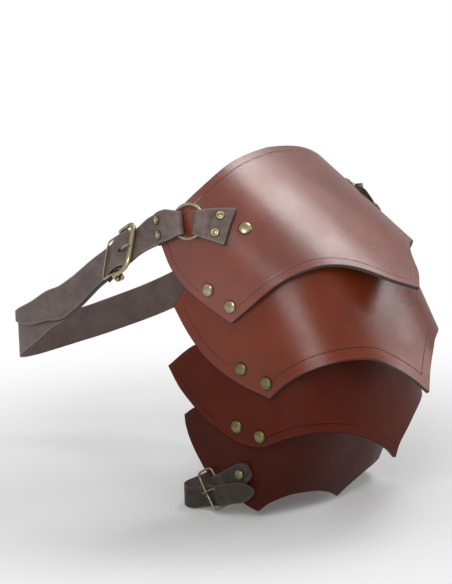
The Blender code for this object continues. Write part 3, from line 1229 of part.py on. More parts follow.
def add_arm_strap(plate, tab, shell, collection, cutters):
    """The arm strap: from the rear of the lowest plate, round the arm, to its tip."""
    _, outer, hinge = arm_heights()
    front = arm_flat(plate, FRONT, ARM_STRAP_SLOPE_DEG)
    rear = arm_flat(plate, REAR, ARM_STRAP_SLOPE_DEG)
    slope = math.radians(ARM_STRAP_SLOPE_DEG)
    x_rivet, half_y = rear.origin[0], rear.origin[1]
    bend = ARM_LOOP_CORNER
    x_side = x_rivet - ARM_LOOP_REACH
    tail = ARM_TAIL_LENGTH * math.cos(slope)
    turn = np.linspace(0.0, math.pi / 2, HOLE_STEPS)
    tip_x = x_side + ARM_LOOP_REACH + tail - ARM_TAB_LENGTH
    near = np.stack([x_side + bend - bend * np.sin(turn), -half_y + bend - bend * np.cos(turn)], axis=-1)
    far = np.stack([near[::-1, 0], -near[::-1, 1]], axis=-1)
    corners = np.concatenate([[[tip_x, -half_y]], near, far, [[x_rivet + ARM_TAB_END_LENGTH, half_y]]])
    lengths = np.concatenate([[0.0], np.cumsum(np.linalg.norm(np.diff(corners, axis=0), axis=1))])
    total = lengths[-1]
    dense = np.linspace(0.0, total, 4 * SECTION_SAMPLES)
    line = np.stack([np.interp(dense, lengths, column) for column in corners.T], axis=-1)
    front_end, rear_start = lengths[1], lengths[-2]
    centre_drop = ARM_STRAP_DROP / math.cos(slope)
    tip_z = front.origin[2] - centre_drop + (tip_x - x_rivet) * math.tan(slope)
    corner_z = tip_z - front_end * math.tan(slope)
    rear_fall = total - rear_start - ARM_TAB_END_LENGTH
    rear_z = rear.origin[2] - rear_fall * math.tan(slope)

    def drop(run):
        share = np.clip((run - front_end) / (rear_start - front_end), 0.0, 1.0)
        side = corner_z + (rear_z - corner_z) * ease(share) - ARM_LOOP_SAG * np.sin(share * math.pi)
        front_part = tip_z - run * math.tan(slope)
        rear_part = rear_z + (run - rear_start) * math.tan(slope)
        return np.where(run < front_end, front_part, np.where(run > rear_start, rear_part, side))

    path = StrapPath(line, drop)
    over_hinge = hinge + ARM_WIRE_RADIUS + 2 * SEAT_GAP + 1.5 * ARM_STRAP_THICKNESS
    on_tab = outer + ARM_STRAP_THICKNESS + SEAT_GAP

    def height(points):
        """Height from the distance to the hinge bar, along the tab's own direction."""
        ahead = (points - tab.origin) @ tab.along - ARM_TAB_LENGTH
        rise = ease((ahead + ARM_MERGE_LENGTH + ARM_WIRE_RADIUS) / (ARM_MERGE_LENGTH - 2 * ARM_WIRE_RADIUS))
        fall = ease((ahead - ARM_WIRE_RADIUS) / (ARM_FRAME_REACH - 3 * ARM_WIRE_RADIUS))
        leave = ease((ahead - ARM_FRAME_REACH - ARM_WIRE_RADIUS) / ARM_FRAME_REACH)
        tall = on_tab + (over_hinge - on_tab) * rise + (ARM_UNDER_BAR_HEIGHT - over_hinge) * fall
        return tall + (ARM_OFF_PLATE_HEIGHT - ARM_UNDER_BAR_HEIGHT) * leave

    tip_rows, front_rows, loop_rows, rear_rows = ARM_ROWS
    rows = np.concatenate([np.linspace(0.0, ARM_TIP_LENGTH, tip_rows),
                           np.linspace(ARM_TIP_LENGTH, front_end, front_rows)[1:],
                           np.linspace(front_end, rear_start, loop_rows)[1:],
                           np.linspace(rear_start, total, rear_rows)[1:]])
    tip = 1.0 - np.clip(rows / ARM_TIP_LENGTH, 0.0, 1.0)
    end = np.clip((rows - total + ARM_TAB_END_LENGTH) / ARM_TAB_END_LENGTH, 0.0, 1.0)
    half = ARM_TIP_HALF_WIDTH + (ARM_STRAP_HALF_WIDTH - ARM_TIP_HALF_WIDTH) * (1.0 - tip**2)
    half = half * np.sqrt(1.0 - END_ROUNDING_SHARE * end**2)
    run, across = spread(rows, half, STRIP_CELLS)
    flat_points = path.place(run, across, 0.0 * run)
    tall = np.where(run < front_end, height(flat_points), ARM_OFF_PLATE_HEIGHT)
    made = band_object("arm_strap", path.place(run, across, tall), ARM_STRAP_THICKNESS, collection,
                       strap_material("arm_strap"), plate.hinge)
    hole_ahead = ARM_TAB_LENGTH + ARM_HOLE_LENGTH / 2 + ARM_WIRE_RADIUS
    hinge_point = tab.place(np.array(hole_ahead), np.array(0.0), np.array(over_hinge))
    slot = Matrix.Translation(Vector(hinge_point - tab.origin)) @ tab.matrix()
    cut(made, box_cutter("arm_prong_hole", (ARM_HOLE_LENGTH, ARM_HOLE_WIDTH, 2 * over_hinge), slot, cutters))
    first_hole = front_end - ARM_LOOP_CORNER
    for number in range(ARM_HOLE_COUNT):
        middle, _, facing, _ = path.frame(np.array(first_hole - number * ARM_ROUND_HOLE_SPACING))
        cut(made, cylinder_cutter(f"arm_round_hole_{number + 1}", ARM_ROUND_HOLE_RADIUS, PLATE_THICKNESS,
                                  middle + facing * ARM_OFF_PLATE_HEIGHT, facing, cutters))
    face = ARM_OFF_PLATE_HEIGHT + ARM_STRAP_THICKNESS / 2
    rivet_arm("arm_strap", rear, face, (made, shell), collection, cutters)


def main():
    clear_scene()
    collection = new_collection(OBJECT_NAME)
    cutters = new_collection("cutters")
    plates = chain_plates()
    shells = [add_plate(plate, collection, colour) for plate, colour in zip(plates, PLATE_COLOURS)]
    join_plates(plates, shells, collection, cutters)
    front = RingSeat(plates[0], FRONT_RING_ALONG, FRONT)
    rear = RingSeat(plates[0], REAR_RING_ALONG, REAR)
    for end, seat in (("front", front), ("rear", rear)):
        for hole in add_tab(f"{end}_tab", seat, collection, cutters):
            cut(shells[0], hole)
        cut(shells[0], add_large_rivet(f"{end}_large_rivet", seat, collection, cutters))
        add_ring(f"{end}_ring", seat, collection)
    path = ChestPath(front, rear)
    add_billet(path, collection, cutters)
    add_buckle_strap(path, collection, cutters)
    add_chest_buckle(path, collection)
    arm_tab = add_arm_tab(plates[-1], shells[-1], collection, cutters)
    add_arm_buckle(arm_tab, collection)
    add_arm_strap(plates[-1], arm_tab, shells[-1], collection, cutters)


main()
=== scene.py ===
"""Looks of a leather pauldron for a left shoulder, in metres, in the frame of its solids.

The wearer faces -Y, so the left arm is towards +X. Every piece of leather is a sheet
worked out from its flat pattern, and every piece of brass is a turned profile, a ring
or a wire swept along its path. The sizes are those that the solids were made with.
"""
import json
import math

import bmesh
import bpy
import numpy as np
from mathutils import Matrix, Vector

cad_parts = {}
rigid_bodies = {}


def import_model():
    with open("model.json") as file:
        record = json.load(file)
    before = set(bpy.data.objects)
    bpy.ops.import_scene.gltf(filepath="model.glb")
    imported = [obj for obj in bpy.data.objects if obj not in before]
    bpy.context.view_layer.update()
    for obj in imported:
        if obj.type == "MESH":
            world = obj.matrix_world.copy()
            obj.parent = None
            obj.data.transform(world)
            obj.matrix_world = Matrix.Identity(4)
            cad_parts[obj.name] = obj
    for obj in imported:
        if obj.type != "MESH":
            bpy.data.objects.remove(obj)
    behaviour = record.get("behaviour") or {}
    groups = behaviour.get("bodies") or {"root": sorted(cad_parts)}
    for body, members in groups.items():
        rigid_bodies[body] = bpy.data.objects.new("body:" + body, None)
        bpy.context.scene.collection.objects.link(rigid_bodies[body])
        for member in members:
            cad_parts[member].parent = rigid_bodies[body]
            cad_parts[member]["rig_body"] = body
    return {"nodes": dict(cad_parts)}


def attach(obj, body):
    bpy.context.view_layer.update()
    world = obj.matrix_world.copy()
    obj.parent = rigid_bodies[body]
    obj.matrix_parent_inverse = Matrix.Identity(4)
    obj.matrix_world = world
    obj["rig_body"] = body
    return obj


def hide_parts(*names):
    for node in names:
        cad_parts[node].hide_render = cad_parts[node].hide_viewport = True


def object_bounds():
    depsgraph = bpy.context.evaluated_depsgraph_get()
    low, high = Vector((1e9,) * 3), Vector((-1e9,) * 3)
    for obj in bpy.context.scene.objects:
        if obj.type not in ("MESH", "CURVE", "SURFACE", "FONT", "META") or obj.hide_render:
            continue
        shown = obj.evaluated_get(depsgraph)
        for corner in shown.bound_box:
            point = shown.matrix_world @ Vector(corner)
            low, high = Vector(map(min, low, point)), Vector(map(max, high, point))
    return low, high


# Sides, directions and gaps that all pieces share
FRONT = -1.0
REAR = 1.0
SIDEWAYS = np.array([0.0, 1.0, 0.0])
UPWARDS = np.array([0.0, 0.0, 1.0])
SEAT_GAP = 0.0003
CURVED_SEAT_GAP = 0.0006
LEG_GAP = 0.0005
SECTION_SAMPLES = 240

# The plates, from the shoulder down. Pairs are along the plate from its cusp and below its crest;
# a plate hangs from the pivot above it. Outlines are shares of the span and the crest's length.
PLATE_THICKNESS = 0.0035
PLATE_RUNNING_GAP = 0.0008
FIRST_HALF_WIDTH = 0.108
PLATES = (
    {
        "name": "lame_1", "slope_deg": 33.7, "rise": 0.060, "section_power": 2.3, "span": 0.177,
        "crest_length": 0.199, "hung": (0.170, PLATE_THICKNESS), "pivot": (0.0958, 0.0797),
        "guide": (0.1233, 0.0835), "line_from_edge": 0.0076,
        "upper": ((0.0, 1.0), (0.28, 0.98), (0.55, 0.945), (0.90, 0.965)),
        "side": ((0.90, 0.965), (0.985, 0.82), (1.0, 0.72), (0.99, 0.60), (0.96, 0.437)),
        "arch": ((0.0, -0.01), (0.12, 0.085), (0.18, 0.155), (0.25, 0.22), (0.333, 0.27),
                 (0.525, 0.33), (0.745, 0.377), (0.96, 0.437)),
    },
    {
        "name": "lame_2", "slope_deg": 60.9, "rise": 0.090, "section_power": 2.6, "span": 0.214,
        "crest_length": 0.130, "hung": (0.1362, 0.0789), "pivot": (0.0624, 0.0800),
        "guide": (0.0838, 0.1000), "line_from_edge": 0.0104,
        "upper": ((0.0, 1.0), (0.23, 1.05), (0.47, 1.15), (0.70, 1.27), (0.90, 1.315), (1.0, 1.25)),
        "side": ((1.0, 1.25), (0.985, 1.03), (0.945, 0.815), (0.90, 0.69), (0.836, 0.56),
                 (0.715, 0.377)),
        "arch": ((0.0, 0.0), (0.075, 0.146), (0.154, 0.26), (0.224, 0.338), (0.294, 0.377),
                 (0.397, 0.415), (0.52, 0.43), (0.62, 0.415), (0.715, 0.377)),
    },
    {
        "name": "lame_3", "slope_deg": 79.0, "rise": 0.052, "section_power": 2.2, "span": 0.234,
        "crest_length": 0.125, "hung": (0.0921, 0.0468), "pivot": (0.0443, 0.0683),
        "guide": (0.0542, 0.0929), "line_from_edge": 0.0080,
        "upper": ((0.0, 1.0), (0.21, 1.02), (0.43, 1.07), (0.64, 1.10), (0.846, 1.04), (1.0, 0.904)),
        "side": ((1.0, 0.904), (0.96, 0.736), (0.906, 0.60), (0.863, 0.504), (0.786, 0.40),
                 (0.726, 0.328), (0.667, 0.288), (0.59, 0.272)),
        "arch": ((0.0, 0.0), (0.034, 0.072), (0.107, 0.16), (0.218, 0.264), (0.30, 0.312),
                 (0.389, 0.336), (0.487, 0.32), (0.538, 0.296), (0.59, 0.272)),
    },
    {
        "name": "lame_4", "slope_deg": 114.0, "rise": 0.048, "section_power": 2.6, "span": 0.198,
        "crest_length": 0.095, "hung": (0.0677, 0.0403),
        "upper": ((0.0, 1.0), (0.25, 1.0), (0.50, 0.95), (0.76, 0.79), (0.96, 0.505), (1.0, 0.37)),
        "side": ((1.0, 0.37), (0.975, 0.284), (0.914, 0.158), (0.838, 0.053), (0.79, 0.0),
                 (0.66, -0.04), (0.53, -0.045), (0.47, -0.063)),
        "arch": ((0.0, -0.01), (0.10, 0.105), (0.207, 0.168), (0.333, 0.168), (0.42, 0.074),
                 (0.47, -0.063)),
    },
)

# The tooled line on the plates: its width, and the distance marked where there is none
LINE_WIDTH = 0.0008
NO_LINE = 0.05

# Rivets: radius and height of the head, radius of the shank and of the cap inside. The profiles
# of the heads are shares of the head's radius and height.
RIVETS = {
    "plate": (0.0062, 0.0026, 0.0020, 0.0052),
    "strap": (0.0042, 0.0016, 0.0014, 0.0036),
    "arm": (0.0050, 0.0026, 0.0020, 0.0042),
}
RIVET_CAP_THICKNESS = 0.0009
DOME_RISE_SHARE = 0.88
DOME_POWER = 1.25
DOME_EDGE = ((0.985, 0.04), (0.94, 0.0))
DIMPLE = ((0.0, 0.52), (0.14, 0.48), (0.26, 0.28), (0.36, 0.26))
RIM_ACROSS_SHARE = 0.30
RIM_RISE_SHARE = 0.65
RIM_EDGE = ((0.97, 0.0),)

# The rings and their tabs
RING_RADIUS = 0.0152
RING_WIRE_RADIUS = 0.0014
FRONT_RING_ACROSS = 0.1230
FRONT_RING_ALONG = 0.1720
REAR_RING_ALONG = 0.1590
TAB_LENGTH = 0.0388
TAB_END_HALF_WIDTH = 0.0172
TAB_TURN_DEG = 32.7
TAB_RIVET_FROM_RING = 0.0280
TAB_RIVET_HALF_SPACING = 0.0074
TAB_MERGE_LENGTH = 0.0082
TAB_WRAP_LENGTH = 0.0055
LARGE_RIVET_ACROSS = 0.0940
LARGE_RIVET_ALONG = 0.1300

# The chest strap, and its way round the chest
STRAP_THICKNESS = 0.0022
STRAP_HALF_WIDTH = 0.0170
RIVETED_HALF_WIDTH = 0.0140
WAIST_HALF_WIDTH = 0.0107
CHEST_STRAIGHT = 0.103
CHEST_ROUND_REACH = 0.192
CHEST_DROP = 0.166
CHEST_LEAN_DEG = 40.0
PIN_FROM_RING = 0.0788
RING_FLAT_LENGTH = 0.0215
REAR_FLAT_LENGTH = 0.0345
REAR_BLEND_LENGTH = 0.0320
RING_SLANT_DEG = 15.0
BUCKLE_FLAT_LENGTH = 0.0230
FLAT_BLEND_LENGTH = 0.0170
FAR_DROP_SHARES = ((0.0, 0.0), (0.062, 0.041), (0.118, 0.086), (0.168, 0.152), (0.210, 0.213),
                   (0.252, 0.272), (0.303, 0.340), (0.353, 0.418), (0.404, 0.495), (0.462, 0.571),
                   (0.532, 0.640), (0.580, 0.700), (0.672, 0.800), (0.745, 0.865), (0.860, 0.950),
                   (1.0, 1.0), (1.14, 0.950))
BILLET_DROP_SHARES = ((0.404, 0.495), (0.462, 0.565), (0.532, 0.608), (0.616, 0.675), (0.745, 0.745),
                      (0.860, 0.800))
LEAN_SHARES = ((0.0, 0.25), (0.084, 0.35), (0.168, 0.80), (0.235, 1.0), (0.308, 0.95), (0.42, 0.60),
               (0.532, 0.35), (0.672, 0.15), (0.812, 0.0), (1.0, 0.0), (1.5, 0.0), (1.9, 0.20),
               (2.2, 0.25))
FOLD_LEG_LENGTH = 0.0230
FOLD_MERGE_LENGTH = 0.0086
FOLD_RIVET_FROM_RING = 0.0295
FOLD_RIVET_HALF_SPACING = 0.0068
BILLET_LENGTH_SHARE = 0.81
BILLET_TAPER_START_SHARE = 0.46
BILLET_TIP_HALF_WIDTH = 0.0050
STRAP_HOLE_RADIUS = 0.0020
STRAP_HOLE_FROM_RING = 0.144

# The chest buckle
BUCKLE_TURN_DEG = 12.0
PIN_RADIUS = 0.0016
PIN_HALF_LENGTH = 0.0250
PIN_END_RADIUS = 0.0026
PIN_END_LENGTH = 0.0024
HOOK_TURN_DEG = 262.0
FRAME_WIRE_RADIUS = 0.0019
FRAME_BAR_THICKER_SHARE = 1.32
FRAME_HALF_LENGTH = 0.0226
FRAME_REACH = 0.0195
FRAME_CORNER = 0.0090
PRONG_RADIUS = 0.0012
PRONG_OVERHANG = 0.0035
PRONG_REACH_SHARES = (0.16, 0.32, 0.50, 0.70, 0.86, 1.0)
PRONG_RISE_START_SHARE = 0.08
PRONG_RISE_END_SHARE = 0.78
PRONG_TIP_SHARE = 0.6
KEEPER_WIRE_RADIUS = 0.0009
KEEPER_SPARE = 0.0013
KEEPER_REACH = 0.0180
KEEPER_CORNER = 0.0025
BILLET_RISE_START = 0.0160
BILLET_RISE_END = 0.0030
PIN_MERGE_LENGTH = 0.0115
BILLET_HOLE_NEAR = 0.0012
BILLET_HOLE_FAR = 0.0108
BILLET_HOLE_WIDTH = 0.0038
FOLD_SLOT_WIDTH = 0.0036

# The arm strap, its tab and its buckle
ARM_STRAP_THICKNESS = 0.0020
ARM_STRAP_HALF_WIDTH = 0.0096
ARM_RIVET_ALONG = 0.0223
ARM_RIVET_BELOW = 0.0464
ARM_TAB_SLOPE_DEG = 31.0
ARM_TAB_LENGTH = 0.0290
ARM_TAB_END_LENGTH = 0.0110
ARM_TAB_HALF_WIDTH = 0.0098
END_ROUNDING_SHARE = 0.75
ARM_MERGE_LENGTH = 0.0090
ARM_WIRE_RADIUS = 0.0011
ARM_PRONG_RADIUS = 0.0009
ARM_FRAME_REACH = 0.0150
ARM_FRAME_HALF_LENGTH = 0.0184
ARM_FRAME_CORNER = 0.0035
ARM_STRAP_SLOPE_DEG = 16.0
ARM_STRAP_DROP = 0.0158
ARM_TAIL_LENGTH = 0.0480
ARM_TIP_LENGTH = 0.0180
ARM_TIP_HALF_WIDTH = 0.0020
ARM_LOOP_REACH = 0.0770
ARM_LOOP_CORNER = 0.0180
ARM_LOOP_SAG = 0.0030
ARM_OFF_PLATE_HEIGHT = 0.0014
ARM_UNDER_BAR_HEIGHT = 0.0042
ARM_HOLE_LENGTH = 0.0080
ARM_HOLE_WIDTH = 0.0030
ARM_ROUND_HOLE_RADIUS = 0.0015
ARM_ROUND_HOLE_SPACING = 0.0180

# Heights of the folded legs, the pin and the arm buckle, and how far past the wire a fold's nose lies
FOLD_INNER = STRAP_THICKNESS / 2
FOLD_OUTER = FOLD_INNER + STRAP_THICKNESS + LEG_GAP
RING_WRAP = RING_WIRE_RADIUS + SEAT_GAP + STRAP_THICKNESS / 2
RING_CHORD = math.sqrt(RING_RADIUS**2 - WAIST_HALF_WIDTH**2)
NOSE_REACH = RING_RADIUS - RING_CHORD + RING_WIRE_RADIUS * (RING_RADIUS / RING_CHORD - 1.0) + SEAT_GAP
PIN_HEIGHT = STRAP_THICKNESS + SEAT_GAP + PIN_RADIUS
ARM_INNER = SEAT_GAP + ARM_STRAP_THICKNESS / 2
ARM_OUTER = ARM_INNER + ARM_STRAP_THICKNESS + SEAT_GAP
ARM_HINGE_HEIGHT = SEAT_GAP + ARM_STRAP_THICKNESS + SEAT_GAP + ARM_WIRE_RADIUS
ARM_BAR_HEIGHT = ARM_UNDER_BAR_HEIGHT + ARM_STRAP_THICKNESS / 2 + SEAT_GAP + ARM_WIRE_RADIUS

# How finely the leather and the brass are worked, where their first axes point, and from which
# angle on an edge is rounded or stays sharp
PLATE_COLUMNS = 156
PLATE_ROWS = 112
EDGE_CROWDING = 0.55
LEG_CELLS = 10
NOSE_STEPS = 20
BEND_STEPS = 11
CORNER_STEPS = 9
TIP_STEPS = 14
LOOP_STEPS = 17
STRIP_COLUMNS = 14
STRIP_STEP = 0.0022
TURNED_SIDES = 40
HEAD_STEPS = 12
BALL_STEPS = 8
WIRE_SIDES = 16
WIRE_RINGS = 150
WIRE_END_STEPS = 5
RING_SIDES = 96
TURNED_ASIDE = (0.31, 0.52, 0.79)
WIRE_ASIDE = (0.23, 0.41, 0.88)
PUNCH_SIDES = 24
WELD_DISTANCE = 1e-7
LEAST_STEP_SQUARED = 1e-12
EDGE_ROUNDING = 0.0007
STRIP_ROUNDING = 0.0005
ROUNDING_SEGMENTS = 3
ROUNDED_FROM_DEG = 55.0
PLATE_SHARP_DEG = 40.0
STRIP_SHARP_DEG = 42.0
BRASS_SHARP_DEG = 38.0

# The photograph's view: where the camera looks, from where, and how long its lens is
PHOTO_HEIGHT = 584
VIEW_DEG = {"azimuth": 40.0, "elevation": 12.24, "roll": -1.5}
VIEW_DISTANCE = 2.0
VIEW_END = 50.0
VIEW_TARGET = (-0.0755, 0.0, -0.1225)
PIXELS_PER_METRE = 1063.83
SENSOR = 36.0

# The light: a high window box behind the guard, a box in front and one behind the arm, and the
# room's own light, to which glossy surfaces add a share of the white background.
# Lamps have a place, a target, a size and a power.
ROOM_LIGHT = 0.42
GLOSSY_SHARE = 0.20
LAMPS = {
    "window_box": ((0.14, 1.02, 1.62), (0.03, 0.0, -0.05), 0.85, 12.5),
    "front_box": ((0.70, -1.40, 0.72), (0.0, 0.0, -0.10), 0.9, 15.0),
    "side_box": ((1.30, 1.62, 0.72), (0.10, 0.0, -0.12), 0.80, 12.0),
}
FLOOR_HALF = 6.0
FLOOR_CENTRE_X = -0.06
FLOOR_FADE = (0.16, 0.60)

# Colours, linear: deep and bright dye, then gloss, roughness and wax of plates. The plates are one leather;
# its dye is painted darker from plate to plate downwards, as painted shade
WHITE = (1.0, 1.0, 1.0)
FLOOR_COLOUR = (0.86, 0.86, 0.86)
PLATE_LOOKS_WITH_PAINTED_SHADE = {
    "lame_1_leather": ((0.130, 0.021, 0.009), (0.225, 0.040, 0.016), 0.85, 0.32, 0.20),
    "lame_2_leather": ((0.108, 0.014, 0.002), (0.175, 0.026, 0.005), 0.42, 0.31, 0.0),
    "lame_3_leather": ((0.056, 0.007, 0.002), (0.090, 0.013, 0.005), 0.12, 0.38, 0.0),
    "lame_4_leather": ((0.036, 0.006, 0.003), (0.060, 0.010, 0.005), 0.10, 0.40, 0.0),
}
STRAP_LOOKS = {
    "strap_leather": ((0.096, 0.066, 0.057), (0.168, 0.122, 0.109), 0.45),
    "arm_strap_leather": ((0.021, 0.016, 0.011), (0.047, 0.037, 0.026), 0.22),
}

# Flesh sides and cut edges: colour, how dark their hollows are, and roughness
RAW_LOOKS = {
    "flesh_side": ((0.160, 0.085, 0.050), 0.55, 0.78),
    "cut_edge": ((0.060, 0.052, 0.044), 0.60, 0.55),
    "strap_flesh": ((0.168, 0.122, 0.109), 0.60, 0.80),
    "strap_edge": ((0.060, 0.042, 0.036), 0.60, 0.60),
}

# Brass: rubbed colour, the darker colour of the film in its hollows and of the painted shade round the
# outer part of turned heads, and roughness. The look for the lower plates' rivets is the old brass
# darkened, as painted shade
BRASS_LOOKS = {
    "old_brass": ((0.54, 0.46, 0.28), (0.15, 0.12, 0.060), 0.24),
    # The old brass darkened, as painted shade, for the rivets between the lower plates
    "dull_brass": ((0.25, 0.215, 0.105), (0.075, 0.064, 0.030), 0.34),
    "aged_brass": ((0.27, 0.24, 0.14), (0.055, 0.050, 0.028), 0.32),
}


def unit(vector):
    """A direction of length one, or an array of them."""
    vector = np.asarray(vector, dtype=float)
    return vector / np.linalg.norm(vector, axis=-1, keepdims=True)


def column(values):
    """Numbers with one more axis, so that each can multiply a direction."""
    return np.asarray(values, dtype=float)[..., None]


def span(value, low, high, start=0.0, end=1.0):
    """Map low..high to start..end, smoothly and held at both ends."""
    share = np.clip((value - low) / (high - low), 0.0, 1.0)
    return start + (end - start) * (share * share * (3.0 - 2.0 * share))


def run_lengths(points):
    """Lengths run along straight steps from the first point to each."""
    return np.concatenate([[0.0], np.cumsum(np.linalg.norm(np.diff(points, axis=0), axis=1))])


def resampled(corners, samples):
    """Even points along straight steps between corners, and the lengths run to the corners."""
    lengths = run_lengths(corners)
    even = np.linspace(0.0, lengths[-1], samples)
    return np.stack([np.interp(even, lengths, axis) for axis in corners.T], axis=-1), lengths


def smooth(wanted, knots, values):
    """Smoothly interpolate numbers, or rows of points, that are known at the knots."""
    slopes = np.gradient(values, knots, axis=0)
    wanted = np.clip(wanted, knots[0], knots[-1])
    cell = np.clip(np.searchsorted(knots, wanted, side="right") - 1, 0, len(knots) - 2)
    size = knots[cell + 1] - knots[cell]
    part = (wanted - knots[cell]) / size
    if values.ndim > 1:
        size, part = size[:, None], part[:, None]
    leave, reach = slopes[cell] * size, slopes[cell + 1] * size
    return ((2 * part**3 - 3 * part**2 + 1) * values[cell] + (part**3 - 2 * part**2 + part) * leave
            + (3 * part**2 - 2 * part**3) * values[cell + 1] + (part**3 - part**2) * reach)


def smooth_through(points, shares):
    """Places at the given shares of the length of a smooth curve through points."""
    points = np.array(points, dtype=float)
    knots = run_lengths(points)
    return smooth(np.asarray(shares) * knots[-1], knots, points)


def smooth_value(wanted, table):
    """Smoothly interpolate a table of two columns."""
    places, values = np.array(table, dtype=float).T
    return smooth(np.asarray(wanted, dtype=float), places, values)


class Plate:
    """The surface of one plate: where it lies, and how its pattern wraps on it."""

    def __init__(self, sizes, half_width, hung_from):
        self.sizes = sizes
        self.half_width = half_width
        slope = math.radians(sizes["slope_deg"])
        self.down = np.array([math.cos(slope), 0.0, -math.sin(slope)])
        self.out = np.array([math.sin(slope), 0.0, math.cos(slope)])
        along, below = sizes["hung"]
        self.cusp = hung_from + self.down * along + self.out * below
        power = 2.0 / sizes["section_power"]
        turn = np.linspace(0.0, math.pi / 2, SECTION_SAMPLES)
        self.arc_across = half_width * np.sin(turn) ** power
        self.arc_below = sizes["rise"] * (1.0 - np.cos(turn) ** power)
        self.arc = run_lengths(np.stack([self.arc_across, self.arc_below], axis=-1))

    def section(self, arc):
        """Distance to the side and below the crest: a superellipse quarter, then a straight leg."""
        aside = np.interp(arc, self.arc, self.arc_across)
        leg = self.sizes["rise"] + arc - self.arc[-1]
        return aside, np.where(arc < self.arc[-1], np.interp(arc, self.arc, self.arc_below), leg)

    def place(self, arc, along, height, side):
        """World place of a pattern point, raised off the outer face by height."""
        aside, below = self.section(arc)
        face = (self.cusp - column(along) * self.down - column(below) * self.out
                + side * column(aside) * SIDEWAYS)
        return face + column(height) * self.normal(arc, side)

    def normal(self, arc, side):
        """Outward normal of the outer face at an arc length."""
        near = self.section(np.maximum(arc - PLATE_THICKNESS, 0.0))
        far = self.section(arc + PLATE_THICKNESS)
        return unit(column(far[1] - near[1]) * side * SIDEWAYS + column(far[0] - near[0]) * self.out)

    def inner_aside(self, place, spare):
        """How far aside the inner face is, at the lowest side within spare of a place."""
        below = -np.dot(place - self.cusp, self.out) - spare
        return np.interp(below, self.arc_below, self.arc_across) - PLATE_THICKNESS

    def end_place(self, along, below, side):
        """World place on the flat end of the outer face, or between both ends at side 0."""
        return self.cusp - along * self.down - below * self.out + side * self.half_width * SIDEWAYS


def chain_plates():
    """Hang each plate on the pivot of the one above, one leather thickness inside it."""
    made, half_width, hung_from = [], FIRST_HALF_WIDTH, np.zeros(3)
    for sizes in PLATES:
        made.append(Plate(sizes, half_width, hung_from))
        if "pivot" in sizes:
            hung_from = made[-1].end_place(*sizes["pivot"], 0.0)
        half_width -= PLATE_THICKNESS + PLATE_RUNNING_GAP
    return made


def fold_line(wire_height, wrap, inner, outer, nose, merge, leg):
    """Side view of a strip folded round a wire: the run and height of its middle.

    Runs are measured from the wire. The strip goes round it at the wrap radius, moved
    past the wire by nose, and its legs close up from there to the merge length.
    """
    low, high = wire_height - wrap, wire_height + wrap
    back = np.linspace(merge, wrap, BEND_STEPS)
    turn = np.linspace(-math.pi / 2, -3 * math.pi / 2, NOSE_STEPS)
    legs = np.linspace(leg, merge, LEG_CELLS + 1)[:-1]
    runs = [legs, back, -nose + wrap * np.cos(turn), back[::-1], legs[::-1]]
    heights = [0.0 * legs + inner, span(back, wrap, merge, low, inner), wire_height + wrap * np.sin(turn),
               span(back[::-1], wrap, merge, high, outer), 0.0 * legs + outer]
    return np.concatenate(runs), np.concatenate(heights)


def ring_fold():
    """The fold of the chest strap round a ring."""
    return fold_line((FOLD_INNER + FOLD_OUTER) / 2, RING_WRAP, FOLD_INNER, FOLD_OUTER, NOSE_REACH,
                     FOLD_MERGE_LENGTH, FOLD_LEG_LENGTH)


class RingSeat:
    """A ring on the top plate, and the flat frame that it and both folds share."""

    def __init__(self, plate, along, side):
        self.plate, self.along, self.side = plate, along, side
        self.outward = plate.normal(FRONT_RING_ACROSS, side)
        self.height = SEAT_GAP + STRAP_THICKNESS + SEAT_GAP + RING_WIRE_RADIUS
        self.centre = plate.place(FRONT_RING_ACROSS, along, self.height, side)
        turn = math.radians(TAB_TURN_DEG)
        self.pattern_run = (-math.sin(turn), -math.cos(turn))
        self.pattern_wide = (math.cos(turn), -math.sin(turn))
        near, ahead = (plate.place(*self.pattern(step, 0.0), 0.0, side) for step in (0.0, PLATE_THICKNESS))
        run = ahead - near
        self.run = unit(run - self.outward * np.dot(run, self.outward))
        self.wide = unit(np.cross(self.outward, self.run)) * side

    def pattern(self, ahead, aside):
        """Arc and length on the plate's pattern, ahead of the ring along its tab and aside."""
        start = (FRONT_RING_ACROSS, self.along)
        return [start[axis] + ahead * self.pattern_run[axis] + aside * self.pattern_wide[axis]
                for axis in range(2)]


class StrapPath:
    """A way round the body: a line seen from above, with a drop and a lean along it."""

    def __init__(self, line, drop, lean):
        self.line = line
        self.run = run_lengths(line)
        self.ahead = unit(np.gradient(line, self.run, axis=0))
        self.drop = drop
        self.lean = lean

    def frame(self, run):
        """Middle, direction, outward normal and upward width at a run along the way."""
        run = np.asarray(run, dtype=float)
        place, ahead = ([np.interp(run, self.run, axis) for axis in table.T]
                        for table in (self.line, self.ahead))
        middle = np.stack([*place, self.drop(run)], axis=-1)
        level = unit(np.stack([*ahead, 0.0 * run], axis=-1))
        step = STRAP_THICKNESS
        fall = (self.drop(run + step) - self.drop(run - step)) / (2 * step)
        along = unit(level + column(fall) * UPWARDS)
        lean = column(self.lean(run))
        facing = np.cross(UPWARDS, level) * np.cos(lean) + UPWARDS * np.sin(lean)
        facing = unit(facing - along * np.sum(facing * along, axis=-1, keepdims=True))
        return middle, along, facing, np.cross(along, facing)

    def place(self, run, across, height):
        """World place of a strap point: across is upwards, height is outwards."""
        middle, _, facing, width = self.frame(run)
        return middle + column(across) * width + column(height) * facing


